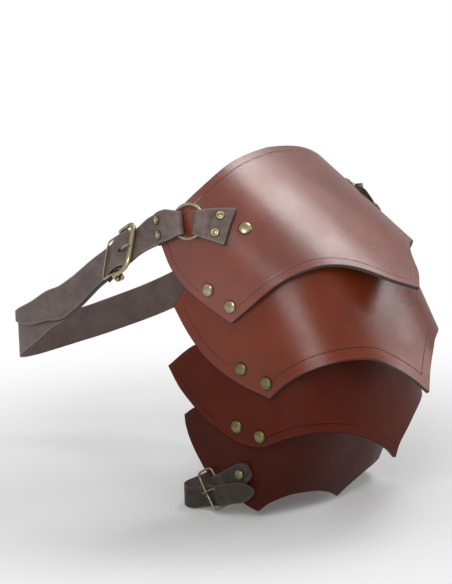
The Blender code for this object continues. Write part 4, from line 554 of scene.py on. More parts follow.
class Flat:
    """A flat frame that a strap passes through: by a ring, or through a buckle."""

    def __init__(self, origin, along, facing, height):
        self.origin = np.array(origin)
        self.along = unit(along)
        self.facing = unit(facing)
        self.width = np.cross(self.along, self.facing)
        self.height = height

    def place(self, ahead, across, height):
        return (self.origin + column(ahead) * self.along + column(across) * self.width
                + column(height - self.height) * self.facing)

    def turned(self, angle):
        """The same plane, with its axes turned so that the width leans back along it."""
        along = self.along * math.cos(angle) + self.width * math.sin(angle)
        return Flat(self.origin, along, self.facing, self.height)

    def matrix(self, ahead=0.0, height=0.0):
        """Axes for a piece: +X along, +Y down across, +Z outward."""
        axes = Matrix([list(axis) for axis in (self.along, -self.width, self.facing)])
        return (Matrix.Translation(Vector(self.origin)) @ axes.transposed().to_4x4()
                @ Matrix.Translation((ahead, 0.0, height)))


class ChestPath:
    """The chest strap's way, made flat at both rings and through the buckle."""

    def __init__(self, front, rear):
        reach = abs(front.centre[1]) - STRAP_THICKNESS - LEG_GAP / 2
        start = front.centre[0] - CHEST_STRAIGHT
        turn = np.linspace(0.0, math.pi, SECTION_SAMPLES)
        arc = np.stack([start - CHEST_ROUND_REACH * np.sin(turn), -reach * np.cos(turn)], axis=-1)
        line = np.concatenate([[[front.centre[0], -reach]], arc, [[rear.centre[0], reach]]])
        line, lengths = resampled(line, 2 * SECTION_SAMPLES)
        self.total = lengths[-1]
        self.half = CHEST_STRAIGHT + (lengths[-2] - CHEST_STRAIGHT) / 2
        self.rear_rise = rear.centre[2] - front.centre[2]
        self.top = front.centre[2]
        self.strap = StrapPath(line, self.strap_drop, self.lean)
        self.billet = StrapPath(line, self.billet_drop, self.lean)
        mean_height = STRAP_THICKNESS + LEG_GAP / 2
        slant = math.radians(RING_SLANT_DEG)
        self.front = Flat(front.centre, -front.run, front.outward, mean_height).turned(-slant)
        self.rear = Flat(rear.centre, rear.run, rear.outward, mean_height).turned(slant)
        middle, along, facing, _ = self.strap.frame(PIN_FROM_RING)
        self.buckle = Flat(middle, along, facing, 0.0)

    def strap_drop(self, run):
        share = run / self.half
        front = self.top - CHEST_DROP * smooth_value(share, FAR_DROP_SHARES)
        back = (self.top + self.rear_rise - (CHEST_DROP + self.rear_rise)
                * smooth_value((self.total - run) / (self.total - self.half), FAR_DROP_SHARES))
        return np.where(share < 1.0, front, back)

    def billet_drop(self, run):
        share = run / self.half
        low = self.top - CHEST_DROP * smooth_value(share, BILLET_DROP_SHARES)
        return np.where(share > BILLET_DROP_SHARES[0][0], low, self.strap_drop(run))

    def lean(self, run):
        return math.radians(CHEST_LEAN_DEG) * smooth_value(run / self.half, LEAN_SHARES)

    def base(self, path, run, across):
        """The strap's inner face: on the path, but flat near the rings and the buckle."""
        level = np.zeros_like(run)
        point = path.place(run, across, level)
        flats = ((self.front, 0.0, RING_FLAT_LENGTH, FLAT_BLEND_LENGTH),
                 (self.buckle, PIN_FROM_RING, BUCKLE_FLAT_LENGTH, FLAT_BLEND_LENGTH),
                 (self.rear, self.total, REAR_FLAT_LENGTH, REAR_BLEND_LENGTH))
        for flat, start, reach, blend in flats:
            near = span(np.abs(run - start), reach, reach + blend, 1.0, 0.0)
            point = point + (flat.place(run - start, across, level) - point) * column(near)
        return point

    def outward(self, path, run, across):
        """Normal of the inner face, from two small steps on it."""
        step = STRAP_THICKNESS / 4
        ahead = self.base(path, run + step, across) - self.base(path, run - step, across)
        aside = self.base(path, run, across + step) - self.base(path, run, across - step)
        return unit(np.cross(aside, ahead))

    def place(self, path, run, across, height):
        """A strap point, raised off the inner face along its normal."""
        return self.base(path, run, across) + column(height) * self.outward(path, run, across)


def spread(rows, half_widths):
    """Grids of rows and of places across them."""
    across = np.asarray(half_widths)[:, None] * np.linspace(-1.0, 1.0, STRIP_COLUMNS + 1)[None, :]
    return np.asarray(rows)[:, None] + 0.0 * across, across


def even_rows(start, end):
    """Rows a strip's step apart, with both ends."""
    return np.linspace(start, end, 2 + int(abs(end - start) / STRIP_STEP))


def chest_half_width(from_ring):
    """Half width of the chest strap: narrow in the ring, wider at its rivets, full at the buckle."""
    waist = span(from_ring, RING_RADIUS / 2, 1.5 * RING_RADIUS, WAIST_HALF_WIDTH, RIVETED_HALF_WIDTH)
    full = span(from_ring, FOLD_RIVET_FROM_RING, PIN_FROM_RING, RIVETED_HALF_WIDTH, STRAP_HALF_WIDTH)
    return np.where(from_ring < FOLD_RIVET_FROM_RING, waist, full)


def billet_height(ahead):
    """Middle height of the billet: under the bar, over the pin, down on to the strap."""
    low = STRAP_THICKNESS + LEG_GAP + STRAP_THICKNESS / 2
    over = (PIN_HEIGHT + PIN_RADIUS + 2 * SEAT_GAP + 2 * PRONG_RADIUS + STRAP_THICKNESS / 2
            + SEAT_GAP)
    after = low + STRAP_THICKNESS + SEAT_GAP
    return (span(ahead, -BILLET_RISE_START, -BILLET_RISE_END, low, over)
            + span(ahead, BILLET_RISE_END, BILLET_RISE_START, 0.0, after - over))


def hook(radius, side):
    """A wire's turn round a pin at its own origin, from below up to the top tangent.

    The hook opens to the side the arm leaves on: side 1 for along, -1 for against.
    """
    turns = np.linspace(math.radians(HOOK_TURN_DEG), 0.0, 2 * CORNER_STEPS)
    return [(-side * radius * math.sin(turn), radius * math.cos(turn)) for turn in turns]


def corner(middle_x, middle_y, radius, start_deg, end_deg):
    """Points on a rounded corner."""
    turns = np.radians(np.linspace(start_deg, end_deg, CORNER_STEPS))
    return [(middle_x + radius * math.cos(turn), middle_y + radius * math.sin(turn)) for turn in turns]


def mirrored(half):
    """Both arms of a wire from one, slanted so that they run beside the turned strap."""
    slant = math.tan(math.radians(BUCKLE_TURN_DEG))
    beyond = PIN_RADIUS + PIN_END_RADIUS
    whole = half + [(x, -y, z) for x, y, z in half[::-1]]
    return [(x, y + slant * math.copysign(max(abs(x) - beyond, 0.0), x), z) for x, y, z in whole]


def arm_flat(plate, side, slope_deg):
    """A flat frame on the lowest plate's end, from the rivet, down and inwards."""
    slope = math.radians(slope_deg)
    origin = plate.end_place(ARM_RIVET_ALONG, ARM_RIVET_BELOW, side)
    return Flat(origin, (-math.cos(slope), 0.0, -math.sin(slope)), (0.0, side, 0.0), 0.0)


def crowd(count, both_ends):
    """Shares from 0 to 1 that crowd at 1, or at both ends: t + k sin(pi t) / pi and its like."""
    even = np.linspace(0.0, 1.0, count + 1)
    if both_ends:
        return even - EDGE_CROWDING * np.sin(2 * math.pi * even) / (2 * math.pi)
    return even + EDGE_CROWDING * np.sin(math.pi * even) / math.pi


def fine_pattern(sizes):
    """Half of the flat pattern: the patch between its upper, side, arch and crest lines.

    A point is the sum of the two ruled surfaces between opposite lines, less the
    bilinear surface through the four corners. Also gives the other three lines' points.
    """
    across, down = crowd(PLATE_COLUMNS, False), crowd(PLATE_ROWS, True)
    size = np.array([sizes["span"], sizes["crest_length"]])
    upper = smooth_through(sizes["upper"], across)[:, None, :]
    arch = smooth_through(sizes["arch"], across)[:, None, :]
    side = smooth_through(sizes["side"], down)[None, :, :]
    crest = upper[0] + (arch[0] - upper[0]) * down[:, None]
    across, down = across[:, None, None], down[None, :, None]
    corners = ((1 - across) * (1 - down) * upper[0] + across * (1 - down) * upper[-1]
               + (1 - across) * down * arch[0] + across * down * arch[-1])
    patch = (1 - down) * upper + down * arch + (1 - across) * crest[None] + across * side - corners
    return patch * size, (upper[:, 0] * size, side[0] * size, arch[:, 0] * size)


def distance_to_line(points, line):
    """Least distance from each point to a line of short straight steps, in the flat pattern."""
    start, step = line[:-1], np.diff(line, axis=0)
    squared = np.maximum(np.sum(step**2, axis=1), LEAST_STEP_SQUARED)
    flat = points.reshape(-1, 1, 2)
    share = np.clip(np.sum((flat - start) * step, axis=2) / squared, 0.0, 1.0)
    nearest = start + share[..., None] * step
    return np.sqrt(np.min(np.sum((flat - nearest) ** 2, axis=2), axis=1)).reshape(points.shape[:-1])


def add_object(name, data):
    """A new object in the scene."""
    made = bpy.data.objects.new(name, data)
    bpy.context.scene.collection.objects.link(made)
    return made


def grid_piece(name, places, marks, outward_of, outward, looks, close_across=False):
    """A grid of four-sided faces through places, with marks kept as its UV map.

    The faces are turned so that the one at outward_of faces outward.
    """
    rows, columns = places.shape[:2]
    index = np.arange(rows * columns).reshape(rows, columns)
    if close_across:
        index = np.concatenate([index, index[:, :1]], axis=1)
    quads = np.stack([index[:-1, :-1], index[1:, :-1], index[1:, 1:], index[:-1, 1:]], axis=-1)
    first, second, third, _ = places.reshape(-1, 3)[quads[outward_of]]
    if np.dot(np.cross(second - first, third - second), outward) < 0.0:
        quads = quads[..., ::-1]
    quads = quads.reshape(-1, 4)
    mesh = bpy.data.meshes.new(name)
    mesh.from_pydata(places.reshape(-1, 3).tolist(), [], quads.tolist())
    layer = mesh.uv_layers.new(name="marks")
    layer.data.foreach_set("uv", marks.reshape(-1, 2)[quads.ravel()].ravel().astype(np.float32))
    for look in looks:
        mesh.materials.append(LOOKS[look])
    return add_object(name, mesh)


def stand_for(piece, node):
    """The piece takes a solid's place, on the same body."""
    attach(piece, frame["nodes"][node]["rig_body"])
    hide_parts(node)


def settle(piece, sharp_deg):
    """Apply a piece's modifiers and shade it smooth, but for its sharp edges."""
    bpy.context.view_layer.update()
    evaluated = piece.evaluated_get(bpy.context.evaluated_depsgraph_get())
    mesh = bpy.data.meshes.new_from_object(evaluated)
    piece.modifiers.clear()
    piece.data = mesh
    mesh.shade_smooth()
    mesh.set_sharp_from_angle(angle=math.radians(sharp_deg))


def thicken(piece, thickness, offset, rounding, sharp_deg):
    """Give a sheet its thickness, a flesh side and cut edges, and round the edges over."""
    shell = piece.modifiers.new("thickness", "SOLIDIFY")
    shell.thickness = thickness
    shell.offset = offset
    shell.use_even_offset = True
    shell.material_offset = 1
    shell.material_offset_rim = 2
    bevel = piece.modifiers.new("rounding", "BEVEL")
    bevel.width = rounding
    bevel.segments = ROUNDING_SEGMENTS
    bevel.limit_method = "ANGLE"
    bevel.angle_limit = math.radians(ROUNDED_FROM_DEG)
    bevel.use_clamp_overlap = True
    settle(piece, sharp_deg)


def pierce(piece, punches):
    """Cut holes out of a sheet, and drop the punches."""
    for punch in punches:
        tool = piece.modifiers.new("hole", "BOOLEAN")
        tool.operation = "DIFFERENCE"
        tool.solver = "EXACT"
        tool.object = punch
    settle(piece, STRIP_SHARP_DEG)
    for punch in punches:
        bpy.data.objects.remove(punch, do_unlink=True)


def set_punch(shape, matrix):
    """A punch from its closed shape, at its place."""
    mesh = bpy.data.meshes.new("punch")
    shape.to_mesh(mesh)
    shape.free()
    mesh.materials.append(LOOKS["cut_edge"])
    made = add_object("punch", mesh)
    made.matrix_world = matrix
    return made


def round_punch(radius, half_length, centre, axis):
    """A round punch along an axis."""
    shape = bmesh.new()
    bmesh.ops.create_cone(shape, cap_ends=True, segments=PUNCH_SIDES, radius1=radius, radius2=radius,
                          depth=2 * half_length)
    turn = Vector(axis).to_track_quat("Z", "Y").to_matrix().to_4x4()
    return set_punch(shape, Matrix.Translation(Vector(centre)) @ turn)


def slot_punch(length, width, depth, matrix):
    """A long punch with round ends, for a prong's slot."""
    turn = np.linspace(-math.pi / 2, math.pi / 2, CORNER_STEPS)
    radius = width / 2
    right = np.stack([length / 2 - radius + radius * np.cos(turn), radius * np.sin(turn)], axis=-1)
    shape = bmesh.new()
    low = [shape.verts.new((x, y, -depth / 2)) for x, y in np.concatenate([right, -right])]
    grown = bmesh.ops.extrude_face_region(shape, geom=[shape.faces.new(low)])
    tops = [item for item in grown["geom"] if isinstance(item, bmesh.types.BMVert)]
    bmesh.ops.translate(shape, verts=tops, vec=(0.0, 0.0, depth))
    bmesh.ops.recalc_face_normals(shape, faces=shape.faces)
    return set_punch(shape, matrix)


def plate_marks(plate, points, lines):
    """Distances in the leather to its edge and to its tooled line, at each pattern point.

    The line follows the side and the arch, and stops short of the guide and the pivot
    rivet. On the top plate it follows the upper edge too.
    """
    sizes = plate.sizes
    to_upper, to_side, to_arch = (distance_to_line(points, line) for line in lines)
    edge = np.minimum(np.minimum(to_side, to_arch), to_upper)
    if "line_from_edge" not in sizes:
        return np.stack([edge, np.full_like(edge, NO_LINE)], axis=-1)
    head = RIVETS["plate"][0]
    stop_along = sizes["guide"][0] + head
    stop_arc = plate.arc[-1] + sizes["pivot"][1] - sizes["rise"] - head
    from_edge = sizes["line_from_edge"]
    inside = from_edge - LINE_WIDTH
    off_side = (to_arch < inside) | (points[..., 1] < stop_along)
    off_arch = (points[..., 0] > stop_arc) | (to_side < inside)
    line = np.minimum(np.where(off_side, NO_LINE, np.abs(to_side - from_edge)),
                      np.where(off_arch, NO_LINE, np.abs(to_arch - from_edge)))
    beyond = to_upper < from_edge
    if plate is plates[0]:
        beside_upper = np.where(to_side < inside, NO_LINE, np.abs(to_upper - from_edge))
        line = np.minimum(line, beside_upper)
        beyond = (to_upper < inside) & (to_side < 2 * from_edge)
    return np.stack([edge, np.where(beyond, NO_LINE, line)], axis=-1)


def build_plate(plate):
    """One plate: its pattern wrapped on the arch with its marks, then thickened inwards."""
    name = plate.sizes["name"]
    points, lines = fine_pattern(plate.sizes)
    marks = plate_marks(plate, points, lines)
    points[0, :, 0] = 0.0
    halves = [plate.place(points[..., 0], points[..., 1], 0.0, half) for half in (FRONT, REAR)]
    places = np.concatenate([halves[0][::-1], halves[1][1:]])
    marks = np.concatenate([marks[::-1], marks[1:]])
    # Each plate's look carries painted shade: the lower the plate hangs, the darker its dye
    piece = grid_piece(name + "_hide", places, marks, (PLATE_COLUMNS, PLATE_ROWS // 2), plate.out,
                       (name + "_leather", "flesh_side", "cut_edge"))
    thicken(piece, PLATE_THICKNESS, -1.0, EDGE_ROUNDING, PLATE_SHARP_DEG)
    stand_for(piece, name)


def build_strip(node, places, half_widths, row, facing, look, punches=()):
    """A strip of strap leather in its solid's place, marked with the distance to its edges.

    Its outer face is the one that looks the way of facing at the given row.
    """
    share = 1.0 - np.abs(np.linspace(-1.0, 1.0, places.shape[1]))
    edge = np.asarray(half_widths)[:, None] * share[None, :]
    marks = np.stack([edge, np.full_like(edge, NO_LINE)], axis=-1)
    middle = (row, STRIP_COLUMNS // 2)
    piece = grid_piece(node + "_hide", places, marks, middle, facing, (look, "strap_flesh", "strap_edge"))
    thickness = STRAP_THICKNESS if look == "strap_leather" else ARM_STRAP_THICKNESS
    thicken(piece, thickness, 0.0, STRIP_ROUNDING, STRIP_SHARP_DEG)
    if punches:
        pierce(piece, punches)
    stand_for(piece, node)


def brass_piece(node, places, marks, outward_of, outward, look):
    """A closed piece of brass in its solid's place: seams and poles are joined."""
    piece = grid_piece(node + "_brass", places, marks, outward_of, outward, (look,), True)
    shape = bmesh.new()
    shape.from_mesh(piece.data)
    bmesh.ops.remove_doubles(shape, verts=shape.verts, dist=WELD_DISTANCE)
    bmesh.ops.dissolve_degenerate(shape, edges=shape.edges, dist=WELD_DISTANCE / 10)
    shape.to_mesh(piece.data)
    shape.free()
    piece.data.shade_smooth()
    stand_for(piece, node)
    return piece


def turned_piece(node, profile, place, outward, look):
    """A turned piece: a smooth profile of radius and height, swept round its axis."""
    turn = np.linspace(0.0, 2 * math.pi, TURNED_SIDES, endpoint=False)
    axis = unit(outward)
    first = unit(np.cross(axis, TURNED_ASIDE))
    round_way = column(np.cos(turn)) * first + column(np.sin(turn)) * np.cross(axis, first)
    places = np.asarray(place) + profile[:, None, 1:] * axis + profile[:, None, :1] * round_way[None]
    marks = np.zeros(places.shape[:2] + (2,))
    marks[..., 0] = run_lengths(profile)[:, None]
    marks[..., 1] = profile[:, None, 0] / profile[:, 0].max()
    row = max(int(np.argmax(profile[:, 0])) - 1, 0)
    piece = brass_piece(node, places, marks, (row, 0), round_way[0] + axis, look)
    piece.data.set_sharp_from_angle(angle=math.radians(BRASS_SHARP_DEG))


def rivet(node, kind, grip, place, outward, look="old_brass"):
    """A rivet with a domed head, or a strap's tubular one: a rolled rim round a dimple.

    Under the head a shank goes through the grip, to a flat cap with eased edges.
    """
    head, height, shank, cap = RIVETS[kind]
    turn = np.linspace(0.0, math.pi / 2, HEAD_STEPS)
    if kind == "strap":
        turn = np.linspace(math.pi, 0.0, HEAD_STEPS)
        rim = np.stack([1.0 - RIM_ACROSS_SHARE + RIM_ACROSS_SHARE * np.cos(turn),
                        1.0 - RIM_RISE_SHARE + RIM_RISE_SHARE * np.sin(turn)], axis=-1)
        top = np.concatenate([DIMPLE, rim, RIM_EDGE])
    else:
        dome = np.stack([np.sin(turn), 1.0 - DOME_RISE_SHARE
                         + DOME_RISE_SHARE * np.maximum(np.cos(turn), 0.0) ** DOME_POWER], axis=-1)
        top = np.concatenate([dome, DOME_EDGE])
    under = -grip - SEAT_GAP
    end = under - RIVET_CAP_THICKNESS
    easy = RIVET_CAP_THICKNESS / 3
    rest = ((shank, SEAT_GAP), (shank, under), (cap - easy, under), (cap, under - easy),
            (cap, end + easy), (cap - easy, end), (0.0, end))
    profile = np.concatenate([top * (head, height) + (0.0, SEAT_GAP), rest])
    turned_piece(node, profile, place, outward, look)


def sweep(node, path, thick, side, other, look, closed):
    """A round wire along a path, as thick as told at each ring, whose axes are side and other."""
    turn = np.linspace(0.0, 2 * math.pi, WIRE_SIDES, endpoint=False)
    across = np.cos(turn)[None, :, None] * side[:, None] + np.sin(turn)[None, :, None] * other[:, None]
    places = path[:, None] + column(thick)[:, None] * across
    if closed:
        places = np.concatenate([places, places[:1]])
    row = len(path) // 2
    brass_piece(node, places, np.zeros(places.shape[:2] + (2,)), (row, 0), across[row, 0], look)


def wire_piece(node, points, radius, matrix, look, radii=None, closed=False):
    """A wire swept along a smooth curve through its points, with round ends.

    Each ring lies across the curve's direction. Its axes come from the ring before
    it, turned as little as the direction turns.
    """
    points = np.asarray(points, dtype=float)
    radii = np.ones(len(points)) if radii is None else np.asarray(radii, dtype=float)
    if closed:
        points, radii = (np.concatenate([table, table[:1]]) for table in (points, radii))
    shares = np.linspace(0.0, 1.0, WIRE_RINGS)
    path = smooth_through(points, shares)
    steps = run_lengths(points)
    thick = radius * np.interp(shares * steps[-1], steps, radii)
    if closed:
        path, thick = path[:-1], thick[:-1]
        ahead = unit(np.roll(path, -1, axis=0) - np.roll(path, 1, axis=0))
    else:
        ahead = unit(np.gradient(path, axis=0))
    side = np.zeros_like(path)
    side[0] = unit(np.cross(ahead[0], WIRE_ASIDE))
    for ring in range(1, len(path)):
        side[ring] = unit(side[ring - 1] - ahead[ring] * np.dot(side[ring - 1], ahead[ring]))
    other = np.cross(ahead, side)
    if not closed:
        turn = np.linspace(0.0, math.pi / 2, WIRE_END_STEPS)
        cap, tall = np.sin(turn), column(np.cos(turn))
        start = path[0] - ahead[0] * (thick[0] * tall - thick[0])
        end = path[-1] + ahead[-1] * (thick[-1] * tall[::-1] - thick[-1])
        path = np.concatenate([start, path[1:-1], end])
        thick = np.concatenate([thick[0] * cap, thick[1:-1], thick[-1] * cap[::-1]])
        times = np.ones(WIRE_RINGS, dtype=int)
        times[[0, -1]] = WIRE_END_STEPS
        side, other = (np.repeat(axes, times, axis=0) for axes in (side, other))
    turned = np.array(matrix.to_3x3()).T
    sweep(node, path @ turned + np.array(matrix.translation), thick, side @ turned, other @ turned, look,
          closed)


def build_ring(node, seat):
    """A ring: a small circle carried round a large one."""
    around = np.linspace(0.0, 2 * math.pi, RING_SIDES, endpoint=False)
    spoke = column(np.cos(around)) * seat.run + column(np.sin(around)) * seat.wide
    sweep(node, seat.centre + RING_RADIUS * spoke, np.full(RING_SIDES, RING_WIRE_RADIUS), spoke,
          np.tile(seat.outward, (RING_SIDES, 1)), "old_brass", True)


def rivet_plates():
    """The pairs of rivets at the front and rear ends of each joint between plates."""
    cap = RIVETS["plate"][3]
    for upper, lower in zip(plates, plates[1:]):
        pair = upper.sizes["name"][-1] + lower.sizes["name"][-1]
        # The rivets between the lower plates take a darker brass, as painted shade
        look = "old_brass" if upper is plates[0] else "dull_brass"
        for kind in ("pivot", "guide"):
            middle = upper.end_place(*upper.sizes[kind], 0.0)
            grip = upper.half_width - lower.inner_aside(middle, cap) + CURVED_SEAT_GAP
            for end, side in (("front", FRONT), ("rear", REAR)):
                place = middle + side * upper.half_width * SIDEWAYS
                rivet(f"{end}_{kind}_rivet_{pair}", "plate", grip, place, (0.0, side, 0.0), look)


def build_tab(name, seat):
    """The folded tab that holds a ring, with both legs on the plate, and its rivets."""
    lower = SEAT_GAP + STRAP_THICKNESS / 2
    upper = lower + STRAP_THICKNESS + SEAT_GAP
    runs, heights = fold_line(seat.height, RING_WRAP, lower, upper, NOSE_REACH, TAB_MERGE_LENGTH,
                              TAB_LENGTH - RING_RADIUS)
    from_ring = runs + RING_RADIUS
    half = np.interp(from_ring, (RING_RADIUS / 2, TAB_LENGTH), (WAIST_HALF_WIDTH, TAB_END_HALF_WIDTH))
    ahead, aside = spread(from_ring, half)
    tall = heights[:, None] + 0.0 * aside
    wrapped = seat.plate.place(*seat.pattern(ahead, aside), tall, seat.side)
    flat = (seat.centre + column(ahead) * seat.run + column(aside) * seat.wide
            + column(tall - seat.height) * seat.outward)
    clear = RING_RADIUS + RING_WRAP
    places = flat + (wrapped - flat) * column(span(ahead, clear, clear + TAB_WRAP_LENGTH))
    build_strip(name, places, half, len(runs) - 3, seat.outward, "strap_leather")
    face = 2 * STRAP_THICKNESS + 2 * SEAT_GAP
    grip = face + PLATE_THICKNESS + CURVED_SEAT_GAP
    for label, offset in (("upper", -TAB_RIVET_HALF_SPACING), ("lower", TAB_RIVET_HALF_SPACING)):
        arc, along = seat.pattern(TAB_RIVET_FROM_RING, offset)
        rivet(f"{name}_rivet_{label}", "strap", grip, seat.plate.place(arc, along, face, seat.side),
              seat.plate.normal(arc, seat.side))


def build_large_rivet(name, seat):
    """The single large rivet beside a tab."""
    along = LARGE_RIVET_ALONG + seat.along - FRONT_RING_ALONG
    rivet(name, "plate", PLATE_THICKNESS + CURVED_SEAT_GAP,
          seat.plate.place(LARGE_RIVET_ACROSS, along, 0.0, seat.side),
          seat.plate.normal(LARGE_RIVET_ACROSS, seat.side))


def fold_rivets(name, path, way, start):
    """Two small rivets through both legs of a strap's fold."""
    face = 2 * STRAP_THICKNESS + LEG_GAP
    run = np.array(abs(start - FOLD_RIVET_FROM_RING))
    for label, across in (("upper", FOLD_RIVET_HALF_SPACING), ("lower", -FOLD_RIVET_HALF_SPACING)):
        rivet(f"{name}_rivet_{label}", "strap", face + SEAT_GAP, path.place(way, run, across, face),
              path.outward(way, run, across))


def build_billet(path):
    """The short strap: folded round the front ring, through the buckle, and on to its tip."""
    runs, heights = ring_fold()
    fold = runs + RING_RADIUS
    rest = even_rows(fold[-1], BILLET_LENGTH_SHARE * path.half)[1:]
    rows = np.concatenate([fold, rest])
    half = chest_half_width(rows) + np.interp(rows / path.half,
                                              (BILLET_TAPER_START_SHARE, BILLET_LENGTH_SHARE),
                                              (0.0, BILLET_TIP_HALF_WIDTH - STRAP_HALF_WIDTH))
    run, across = spread(rows, half)
    turn = math.radians(BUCKLE_TURN_DEG)
    from_pin = (run - PIN_FROM_RING) * math.cos(turn) + across * math.sin(turn)
    heights = np.concatenate([heights, 0.0 * rest])[:, None] + 0.0 * across
    heights = np.where(run > RING_RADIUS + FOLD_LEG_LENGTH + SEAT_GAP, billet_height(from_pin), heights)
    slot = path.buckle.turned(turn).matrix(-(BILLET_HOLE_NEAR + BILLET_HOLE_FAR) / 2, billet_height(0.0))
    place, _, facing, _ = path.billet.frame(STRAP_HOLE_FROM_RING)
    place = place + facing * billet_height(STRAP_HOLE_FROM_RING - PIN_FROM_RING)
    punches = [slot_punch(BILLET_HOLE_FAR - BILLET_HOLE_NEAR, BILLET_HOLE_WIDTH, RING_RADIUS, slot),
               round_punch(STRAP_HOLE_RADIUS, 2 * STRAP_THICKNESS, place, facing)]
    row = len(fold) + 2
    build_strip("billet_strap", path.place(path.billet, run, across, heights), half, row,
                path.outward(path.billet, rows[row], 0.0), "strap_leather", punches)
    fold_rivets("billet_strap", path, path.billet, 0.0)


def build_buckle_strap(path):
    """The long strap: folded round the buckle's pin, round the chest to the rear ring."""
    wrap = PIN_RADIUS + SEAT_GAP + STRAP_THICKNESS / 2
    pin_runs, pin_heights = fold_line(PIN_HEIGHT, wrap, FOLD_INNER, FOLD_OUTER, 0.0, PIN_MERGE_LENGTH,
                                      FOLD_LEG_LENGTH)
    ring_runs, ring_heights = ring_fold()
    first = PIN_FROM_RING + pin_runs
    last = (path.total - RING_RADIUS - ring_runs)[::-1]
    between = even_rows(first[-1], last[0])[1:-1]
    rows = np.concatenate([first, between, last])
    heights = np.concatenate([pin_heights, 0.0 * between + FOLD_OUTER, ring_heights[::-1]])
    half = chest_half_width(path.total - rows)
    run, across = spread(rows, half)
    tall = heights[:, None] + 0.0 * across
    places = path.place(path.strap, run, across, tall)
    buckle = path.buckle.turned(math.radians(BUCKLE_TURN_DEG))
    near = span(run - PIN_FROM_RING, wrap, wrap + FOLD_LEG_LENGTH, 1.0, 0.0)
    places = places + (buckle.place(run - PIN_FROM_RING, across, tall) - places) * column(near)
    punch = slot_punch(2 * PIN_MERGE_LENGTH, FOLD_SLOT_WIDTH, 4 * wrap, buckle.matrix(0.0, PIN_HEIGHT))
    row = len(first) + len(between) // 2
    build_strip("buckle_strap", places, half, row, path.outward(path.strap, rows[row], 0.0),
                "strap_leather", [punch])
    fold_rivets("buckle_strap", path, path.strap, path.total)


def build_prong(name, gap, radius, reach, rest_height, axes, look):
    """A prong hooked round its pin, up through the strap, and resting on the bar."""
    low = gap + radius
    points = [(x, 0.0, z) for x, z in hook(low, -1.0)]
    for share in PRONG_REACH_SHARES:
        points.append((-share * reach, 0.0, span(share, PRONG_RISE_START_SHARE, PRONG_RISE_END_SHARE, low,
                                                 rest_height)))
    points.append((-reach - PRONG_OVERHANG, 0.0, rest_height))
    wire_piece(name, points, radius, axes, look, [1.0] * (len(points) - 1) + [PRONG_TIP_SHARE])


def build_chest_buckle(path):
    """The chest buckle: a pin with ball ends, and a frame, prong and keeper round it."""
    buckle = path.buckle.turned(math.radians(BUCKLE_TURN_DEG))
    axes = buckle.matrix(0.0, PIN_HEIGHT)
    end, ball = PIN_HALF_LENGTH, PIN_END_RADIUS
    turn = np.linspace(math.pi / 2, 0.0, BALL_STEPS)
    crown = np.stack([ball * np.cos(turn), end + PIN_END_LENGTH * np.sin(turn)], axis=-1)
    half = np.concatenate([crown, [[ball, end], [PIN_RADIUS, end], [PIN_RADIUS, 0.0]]])
    profile = np.concatenate([half, half[-2::-1] * (1.0, -1.0)])
    turned_piece("chest_buckle_pin", profile, np.array(axes.translation), buckle.width, "old_brass")
    gap = PIN_RADIUS + SEAT_GAP

    def loop(name, radius, reach, half_length, bend, bar_height, side, thicker):
        """A wire with both ends hooked on the pin, and a bar between two corners at its reach."""
        arm = [(x, -half_length, z) for x, z in hook(gap + radius, side)]
        corners = corner(side * (reach - bend), bend - half_length, bend, 270.0, 270.0 + side * 90.0)
        thick = [1.0] * len(arm) + list(np.linspace(1.0, thicker, len(corners)))
        wire_piece(name, mirrored(arm + [(x, y, bar_height) for x, y in corners]), radius, axes,
                   "old_brass", thick + thick[::-1])

    bar = gap + FRAME_WIRE_RADIUS
    loop("chest_buckle_frame", FRAME_WIRE_RADIUS, FRAME_REACH, FRAME_HALF_LENGTH, FRAME_CORNER, bar, -1.0,
         FRAME_BAR_THICKER_SHARE)
    over_billet = billet_height(KEEPER_REACH) + STRAP_THICKNESS / 2 + SEAT_GAP + KEEPER_WIRE_RADIUS
    loop("chest_buckle_keeper", KEEPER_WIRE_RADIUS, KEEPER_REACH,
         STRAP_HALF_WIDTH + KEEPER_SPARE + KEEPER_WIRE_RADIUS, KEEPER_CORNER, over_billet - PIN_HEIGHT,
         1.0, 1.0)
    rest_height = bar + FRAME_BAR_THICKER_SHARE * FRAME_WIRE_RADIUS + SEAT_GAP + PRONG_RADIUS
    build_prong("chest_buckle_prong", gap, PRONG_RADIUS, FRAME_REACH, rest_height, axes, "old_brass")


